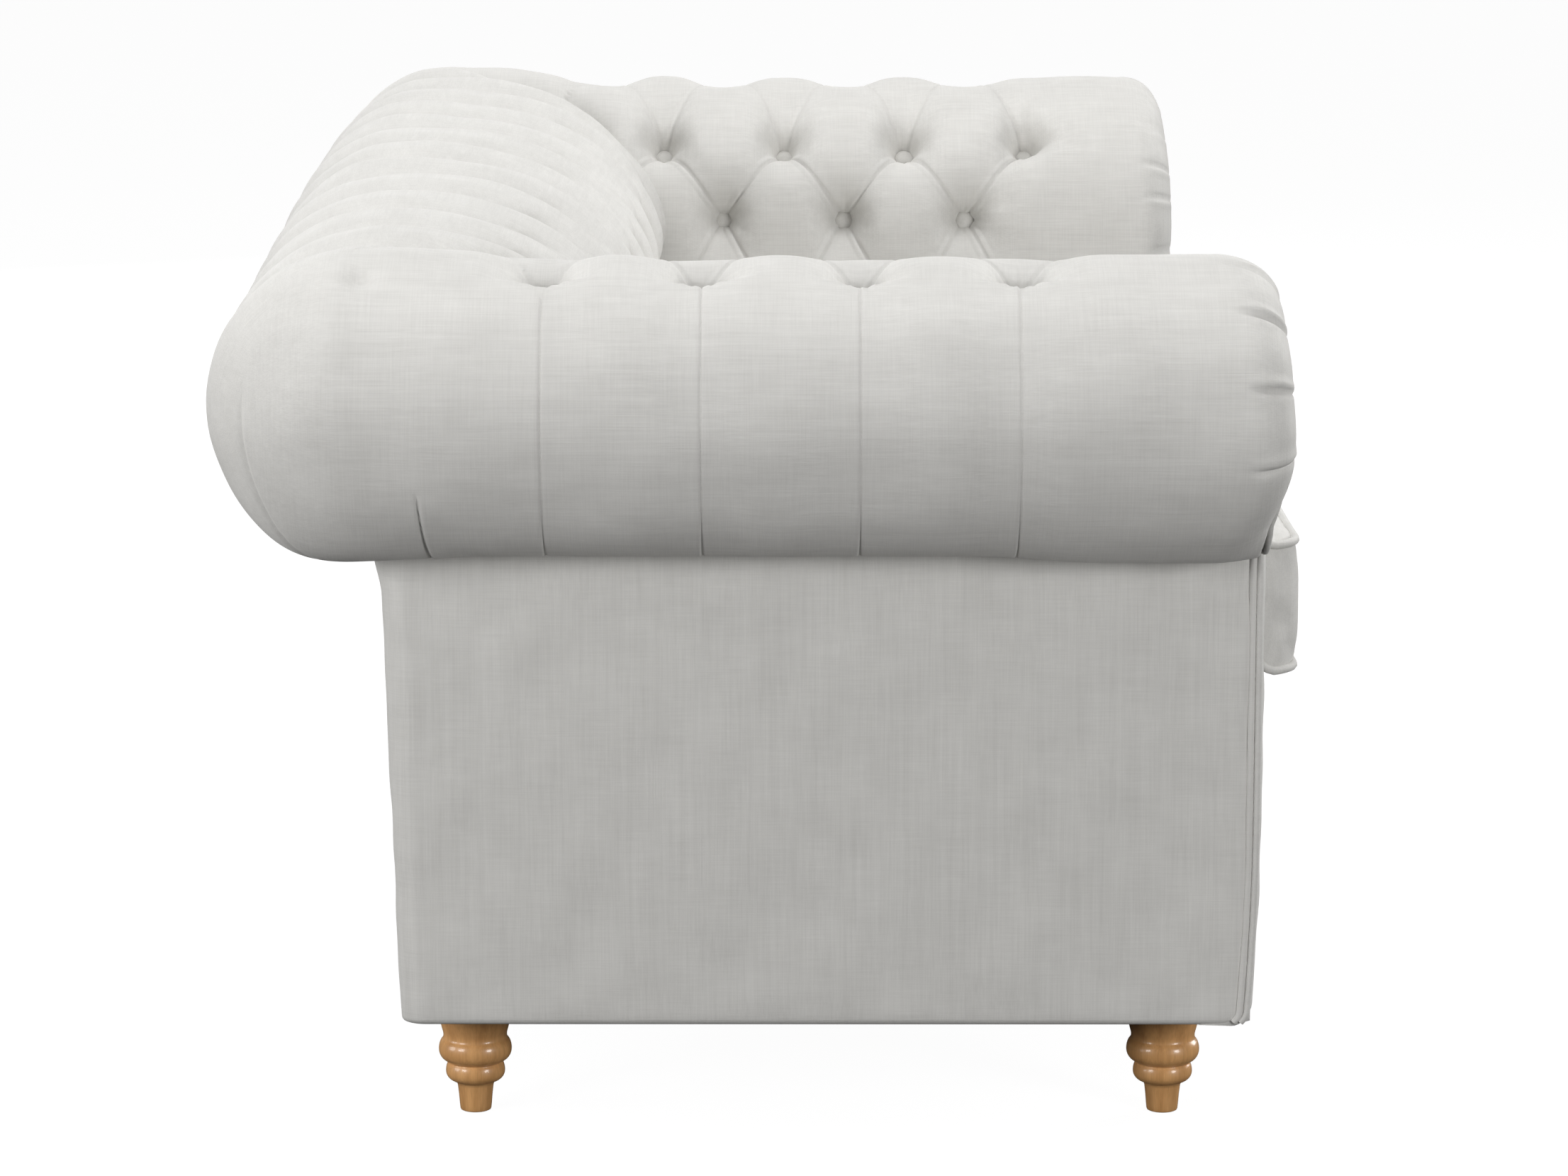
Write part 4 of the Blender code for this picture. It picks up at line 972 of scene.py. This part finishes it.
def back_out(height):
    """Rear face of the outside back at heights."""
    share = (UNDER_Z - height) / (UNDER_Z - FOOT_HEIGHT)
    flare = PANEL_FLARE * smooth((height - UNDER_Z + FLARE_HEIGHT) / FLARE_HEIGHT) ** 1.5
    return ROLL_Y + PANEL_OFFSET - BACK_TAPER * np.clip(share, 0, 1) + flare


def panel_rows(top, steps):
    """Heights and insets of a panel's rows: from under the frame, round its lower edge and up."""
    angles = quarter_turn(7)
    low = LOWER_EDGE + TURN_UNDER * (1 - np.cos(angles))
    heights = np.concatenate([[LOWER_EDGE], low, np.linspace(low[-1], top, steps)[1:]])
    insets = np.concatenate([[UNDER_FLAP], TURN_UNDER * (1 - np.sin(angles)), np.zeros(steps - 1)])
    return heights, insets


def arm_panel(side_name):
    """Make the outside panel of one arm, wrapped round the rear corner, with a rolled front edge."""
    side = SIDES[side_name]
    heights, insets = panel_rows(UNDER_Z + PANEL_RISE, 70)
    rear = back_out(heights) - 0.35 * insets
    front = FRAME_FRONT_Y - PANEL_WRAP + front_taper(heights)
    run = np.linspace(0, 1, 140) ** 1.3
    angle = quarter_turn(10)[1:]
    rows = []
    for height, inset, back_y, front_y in zip(heights, insets, rear, front):
        outer_x = PANEL_X - inset
        corner_y = back_y - PANEL_CORNER
        ys = mix(front_y, corner_y, run)
        xs = outer_x - EDGE_HOLLOW * smooth(1 - (ys - front_y) / EDGE_HOLLOW_WIDTH)
        rounded_x = outer_x - PANEL_CORNER * (1 - np.cos(angle))
        xs = np.concatenate([xs, rounded_x, [outer_x - PANEL_CORNER - CORNER_LAP]])
        ys = np.concatenate([ys, corner_y + PANEL_CORNER * np.sin(angle), [back_y]])
        rows.append(np.stack([xs, ys, np.full(xs.shape, height)], -1))
    points = np.array(rows)
    share_y = np.clip((points[..., 1] - front.min()) / (rear.max() - front.min()), 0, 1)
    share_z = np.clip((points[..., 2] - FOOT_HEIGHT) / (UNDER_Z - FOOT_HEIGHT), 0, 1)
    bulge = PANEL_BULGE * (4 * share_y * (1 - share_y)) ** 0.5 * (4 * share_z * (1 - share_z)) ** 0.5
    bulge = bulge + ripple(points[..., 1], points[..., 2], PANEL_UNEVEN) * smooth(share_z / 0.06)
    points[..., 0] = side * (points[..., 0] + bulge)
    sheet(side_name + "_panel_cover", points, LINEN_Z, side_name + "_outside_arm_panel", flip=side < 0)
    route = []
    for height in np.linspace(LOWER_EDGE + CORD_FOOT, UNDER_Z + 0.01, 120):
        route.append((side * (PANEL_X - CORD_INSET), PANEL_CORD_Y + front_taper(height), height))
    piping(side_name + "_panel_piping", route, LINEN_Z, radius=EDGE_CORD)


def flat_cover(name, half, rows, ys, outward, node):
    """Make a wide padded cover between two ends along X, with rounded ends."""
    heights, insets = rows
    corner = 0.008
    angle = quarter_turn(8)[::-1]
    left_x = -half + corner * (1 - np.sin(angle))
    left_in = corner * (1 - np.cos(angle))
    middle = np.linspace(-half + corner, half - corner, 220)[1:-1]
    xs = np.concatenate([left_x, middle, -left_x[::-1]])
    ends_in = np.concatenate([left_in, np.zeros(middle.shape), left_in[::-1]])
    x = xs[None, :] + 0 * heights[:, None]
    z = heights[:, None] + 0 * xs[None, :]
    share_x = np.clip((x + half) / (2 * half), 0, 1)
    share_z = np.clip((z - heights.min()) / (heights.max() - heights.min()), 0, 1)
    bulge = PANEL_BULGE * (4 * share_x * (1 - share_x)) ** 0.35 * (4 * share_z * (1 - share_z)) ** 0.5
    bulge = bulge + ripple(x, z, PANEL_UNEVEN) * smooth(share_z / 0.06)
    y = ys[:, None] + outward * (bulge - insets[:, None] - ends_in[None, :])
    sheet(name, np.stack([x, y, z], -1), LINEN_X, node, flip=outward > 0)


def flat_covers():
    """Make the outside back and the front border."""
    end_inset = 0.026
    back_lift = 0.001
    border_lap = 0.002
    rows = panel_rows(UNDER_Z + PANEL_RISE, 70)
    flat_cover("outside_back_cover", PANEL_X - end_inset, rows, back_out(rows[0]) + back_lift, 1,
               "outside_back_panel")
    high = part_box("front_border")[1]
    radius = 0.010
    rounded = quarter_turn(8)[1:]
    heights, insets = panel_rows(high.z - radius, 46)
    heights = np.concatenate([heights, high.z - radius + radius * np.sin(rounded), [high.z]])
    insets = np.concatenate([insets, radius * (1 - np.cos(rounded)), [UNDER_FLAP]])
    ys = np.full(heights.shape, BORDER_Y)
    flat_cover("front_border_cover", high.x + border_lap, (heights, insets), ys, -1, "front_border")


# Seat

def cushion_points(side_name, cuts, side_cuts):
    """A box cushion as a bmesh: crowned top and bottom between two piped edges, which a layer marks."""
    low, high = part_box("seat_cushion_" + side_name)
    edge_lift = 0.020
    edge_height = 0.104
    crown = 0.022
    corner = 0.045
    pull_in = 0.005
    rim_inset = 0.003
    at_face = 0.9999
    half = ((high.x - low.x) / 2, (high.y - low.y) / 2)
    inner = (half[0] - corner, half[1] - corner)
    centre = ((high.x + low.x) / 2, (high.y + low.y) / 2)
    bm = bmesh.new()
    bmesh.ops.create_cube(bm, size=2.0)
    upright = [edge for edge in bm.edges if abs(edge.verts[0].co.z - edge.verts[1].co.z) > 1]
    bmesh.ops.subdivide_edges(bm, edges=upright, cuts=side_cuts, use_grid_fill=True)
    flat = [edge for edge in bm.edges if abs(edge.verts[0].co.z - edge.verts[1].co.z) < 0.001]
    bmesh.ops.subdivide_edges(bm, edges=flat, cuts=cuts, use_grid_fill=True)
    edge_low = DECK_HEIGHT + edge_lift
    edge_high = edge_low + edge_height
    rim_layer = bm.verts.layers.int.new("rim")
    for vert in bm.verts:
        u, v, w = vert.co
        on_side = max(abs(u), abs(v)) > at_face
        if abs(w) > at_face and on_side:
            vert[rim_layer] = 1 if w > 0 else -1
        # Sides pull in between the corners, which are rounded
        x = half[0] * u * (1 - pull_in / half[0] * (1 - v * v))
        y = half[1] * v * (1 - pull_in / half[1] * (1 - u * u))
        beyond = (max(abs(x) - inner[0], 0.0), max(abs(y) - inner[1], 0.0))
        if beyond[0] > 0 and beyond[1] > 0:
            scale = max(beyond) / math.hypot(*beyond)
            x = math.copysign(inner[0] + beyond[0] * scale, x)
            y = math.copysign(inner[1] + beyond[1] * scale, y)
        edge = (1 - u ** 4) * (1 - v ** 4)
        if w > at_face:
            z = edge_high + crown * edge ** 0.55
        elif w < -at_face:
            z = max(edge_low - 1.6 * edge_lift * edge ** 0.5, DECK_HEIGHT + LIE_GAP)
        else:
            z = mix(edge_low, edge_high, (w + 1) / 2)
        draw = rim_inset * (1 - 0.75 * (1 - w * w)) if on_side else rim_inset
        x -= math.copysign(draw, u) * abs(u) ** 8
        y -= math.copysign(draw, v) * abs(v) ** 8
        droop = mix(CUSHION_LOW_DROOP, CUSHION_DROOP, (w + 1) / 2)
        z -= droop * float(smooth((-v - 0.80) / 0.14))
        vert.co = (centre[0] + x, centre[1] + y, z)
    return bm, rim_layer


def swell_cushion(bm, rim_layer, name):
    """Let a cushion's cover swell by cloth simulation, with its piped edges and its underside held."""
    side_gap = 0.001
    bm.verts.index_update()
    mesh = bpy.data.meshes.new(name + "_draft")
    bm.to_mesh(mesh)
    draft = placed(name + "_draft", mesh)
    scene = bpy.context.scene
    lying = DECK_HEIGHT + 0.001
    held = [vert.index for vert in bm.verts if vert[rim_layer] != 0 or vert.co.z < lying]
    draft.vertex_groups.new(name="held").add(held, 1.0, "REPLACE")
    cloth_modifier = draft.modifiers.new("cover", "CLOTH")
    settings = cloth_modifier.settings
    settings.quality = 6
    settings.mass = 0.3
    settings.use_pressure = True
    settings.uniform_pressure_force = SWELL_PRESSURE
    settings.shrink_min = -SPARE_CLOTH
    settings.vertex_group_mass = "held"
    settings.effector_weights.gravity = 0.0
    cloth_modifier.collision_settings.use_collision = False
    for step in range(1, SWELL_FRAMES + 1):
        scene.frame_set(step)
    after = draft.evaluated_get(bpy.context.evaluated_depsgraph_get()).data
    low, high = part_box(name)
    for vert, moved in zip(bm.verts, [vertex.co.copy() for vertex in after.vertices]):
        move = moved - vert.co
        if move.length > SWELL_CAP:
            move = move * (SWELL_CAP / move.length)
        vert.co += move
        vert.co.x = min(max(vert.co.x, low.x + side_gap), high.x - side_gap)
        vert.co.y = min(max(vert.co.y, low.y + side_gap), high.y - side_gap)
        vert.co.z = max(vert.co.z, DECK_HEIGHT + LIE_GAP)
    scene.frame_set(1)
    bpy.data.objects.remove(draft)
    bpy.data.meshes.remove(mesh)


def rim_points(bm, layer, mark):
    """Points round a piped edge of a cushion, in order."""
    found = [vert.co.copy() for vert in bm.verts if vert[layer] == mark]
    middle = sum(found, Vector()) / len(found)
    return sorted(found, key=lambda point: math.atan2(point.y - middle.y, point.x - middle.x))


def smoothed(made):
    """Subdivide a piece once."""
    modifier = made.modifiers.new("fine", "SUBSURF")
    modifier.levels = 1
    modifier.render_levels = 1


def seat_cushion(side_name):
    """Make one loose seat cushion and its two piped edges."""
    body = side_name + "_cushion"
    node_name = "seat_cushion_" + side_name
    bm, rim_layer = cushion_points(side_name, cuts=63, side_cuts=11)
    swell_cushion(bm, rim_layer, node_name)
    rims = {label: rim_points(bm, rim_layer, mark) for label, mark in (("low", -1), ("high", 1))}
    mesh = bpy.data.meshes.new("seat_cushion_cover_" + side_name)
    bm.to_mesh(mesh)
    bm.free()
    made = piece("seat_cushion_cover_" + side_name, mesh, LINEN_CUSHION, "linen", body, node_name)
    smoothed(made)
    for label, points in rims.items():
        piping(f"seat_cushion_piping_{label}_{side_name}", points, LINEN_CUSHION, body, closed=True)


def deck_cover():
    """Make the lining over the seat deck, with a soft edge."""
    low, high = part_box("seat_deck_pad")
    steps = 60
    edge_drop = 0.010
    lining_drop = 0.0012
    unevenness = 0.0004
    u = np.linspace(-1, 1, steps)[:, None]
    v = u.T
    x = mix(low.x, high.x, (u + 1) / 2) + 0 * v
    y = mix(low.y, high.y, (v + 1) / 2) + 0 * u
    edge = (1 - u ** 10) * (1 - v ** 10)
    z = high.z - edge_drop * (1 - edge) - lining_drop + ripple(x, y, unevenness)
    points = np.stack([x, y, np.minimum(z, high.z)], -1)
    made = sheet("deck_cover", points, DECK_CLOTH, "seat_deck_pad", slot="deck_cloth")
    thick = made.modifiers.new("thickness", "SOLIDIFY")
    thick.thickness = 0.020
    thick.offset = -1.0


# Feet

def foot_outline():
    """Radius in metres and height as a share of the foot, up its turned outline."""
    base, neck, collar = 0.0138, 0.0154, 0.0322
    low_bead, low_notch = 0.0258, 0.0224
    bead, notch = 0.0318, 0.0264
    outline = [(0.0001, 0.0), (base - 0.0022, 0.0), (base - 0.0006, 0.006), (base, 0.02), (neck, 0.255)]
    beads = ((0.335, 0.085, neck, low_bead, low_notch), (0.525, 0.10, low_notch, bead, notch))
    for middle, size, below, radius, above in beads:
        for step in range(1, 12):
            angle = -math.pi / 2 + math.pi * step / 12
            inner = below if angle < 0 else above
            outline.append((mix(inner, radius, math.cos(angle)), middle + size * math.sin(angle)))
    for step in range(1, 9):
        share = step / 8
        outline.append((mix(notch, collar, share ** 0.8), mix(0.632, 0.84, share)))
    return outline + [(collar, 0.985), (collar - 0.002, 1.0)]


def feet():
    """Make the turned feet, each standing for its plain solid."""
    outline = np.array(foot_outline())
    sides = 56
    faces = grid_faces(len(outline), sides, closed=True)
    radius = outline[:, :1]
    turns = np.linspace(0, 2 * math.pi, sides, endpoint=False)[None, :]
    for side_name in SIDES:
        for end_name in ("front", "rear"):
            foot = f"{side_name}_{end_name}_foot"
            low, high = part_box(foot)
            middle = (low + high) / 2
            x = middle.x + radius * np.cos(turns)
            y = middle.y + radius * np.sin(turns)
            z = low.z + (high.z - low.z) * outline[:, 1:] + 0 * turns
            mesh = mesh_of("turned_foot", np.stack([x, y, z], -1), faces)
            smoothed(piece(f"{side_name}_{end_name}_turned_foot", mesh, OAK, "oak", "sofa", foot))


for name in SIDES:
    arm_cover(name)
    arm_facing(name)
    arm_panel(name)
    seat_cushion(name)
back_cover()
flat_covers()
deck_cover()
feet()


# Floor, light and camera

def grey(value):
    return (value, value, value, 1.0)


def floor():
    """Make a pale floor that looks white to the camera and gives back little light."""
    mesh = mesh_of("floor", [(-30, -30, 0), (40, -30, 0), (40, 30, 0), (-30, 30, 0)], [(0, 1, 2, 3)])
    look = Look("pale_floor", 1.0)
    look.nodes.clear()
    paper = look.node("BsdfDiffuse", Color=grey(0.86))
    glow = look.node("Emission", Color=grey(1.0), Strength=1.11)
    hidden = look.node("BsdfDiffuse", Color=grey(0.06))
    seen = look.mix_shaders(0.87, paper, glow)
    both = look.mix_shaders(look.node("LightPath").outputs["Is Camera Ray"], hidden, seen)
    look.node("OutputMaterial", Surface=both.outputs["Shader"])
    mesh.materials.append(look.made)
    placed("floor", mesh)


def aimed(made, place, ahead):
    """Put a lamp or a camera at a place, facing along a direction."""
    made.location = place
    made.rotation_mode = "QUATERNION"
    made.rotation_quaternion = Vector(ahead).to_track_quat("-Z", "Y")


def area_light(name, place, aim_height, size, power):
    """Make a soft box that points at a height above the middle of the floor."""
    light = bpy.data.lights.new(name, "AREA")
    light.shape = "RECTANGLE"
    light.size, light.size_y = size
    light.energy = power
    aimed(placed(name, light), place, Vector((0.0, 0.0, aim_height)) - Vector(place))


def light_and_camera():
    scene = bpy.context.scene
    scene.world = bpy.data.worlds.new("studio")
    scene.world.use_nodes = True
    background = scene.world.node_tree.nodes["Background"]
    background.inputs["Color"].default_value = grey(1.0)
    background.inputs["Strength"].default_value = 0.06
    area_light("top_box", (0.0, 0.0, 3.6), 0.0, (4.0, 3.6), 113.0)
    area_light("side_box", (-1.6, 4.4, 1.3), 0.5, (1.6, 1.6), 60.0)
    area_light("left_box", (-2.7, 2.2, 1.1), 0.5, (0.9, 0.9), 36.0)
    area_light("right_box", (-3.8, -3.2, 1.2), 0.5, (1.2, 1.2), 87.0)
    area_light("front_fill", (2.6, -4.2, 1.7), 0.4, (2.0, 2.0), 108.0)
    area_light("far_fill", (4.4, 1.8, 1.7), 0.4, (2.0, 2.0), 80.0)
    # The photo's width and focal length in pixels, and the way the camera looked
    photo_width = 2212
    focal_pixels = 7883.7
    yaw, pitch = 0.0018, 0.1858
    lens = bpy.data.cameras.new("camera")
    lens.sensor_width = 36.0
    lens.lens = lens.sensor_width * focal_pixels / photo_width
    lens.clip_end = 100.0
    scene.camera = placed("camera", lens)
    aimed(scene.camera, (-5.3575, -0.0246, 1.3445),
          (math.cos(yaw) * math.cos(pitch), math.sin(yaw) * math.cos(pitch), -math.sin(pitch)))
    scene.view_settings.view_transform = "Standard"


floor()
light_and_camera()
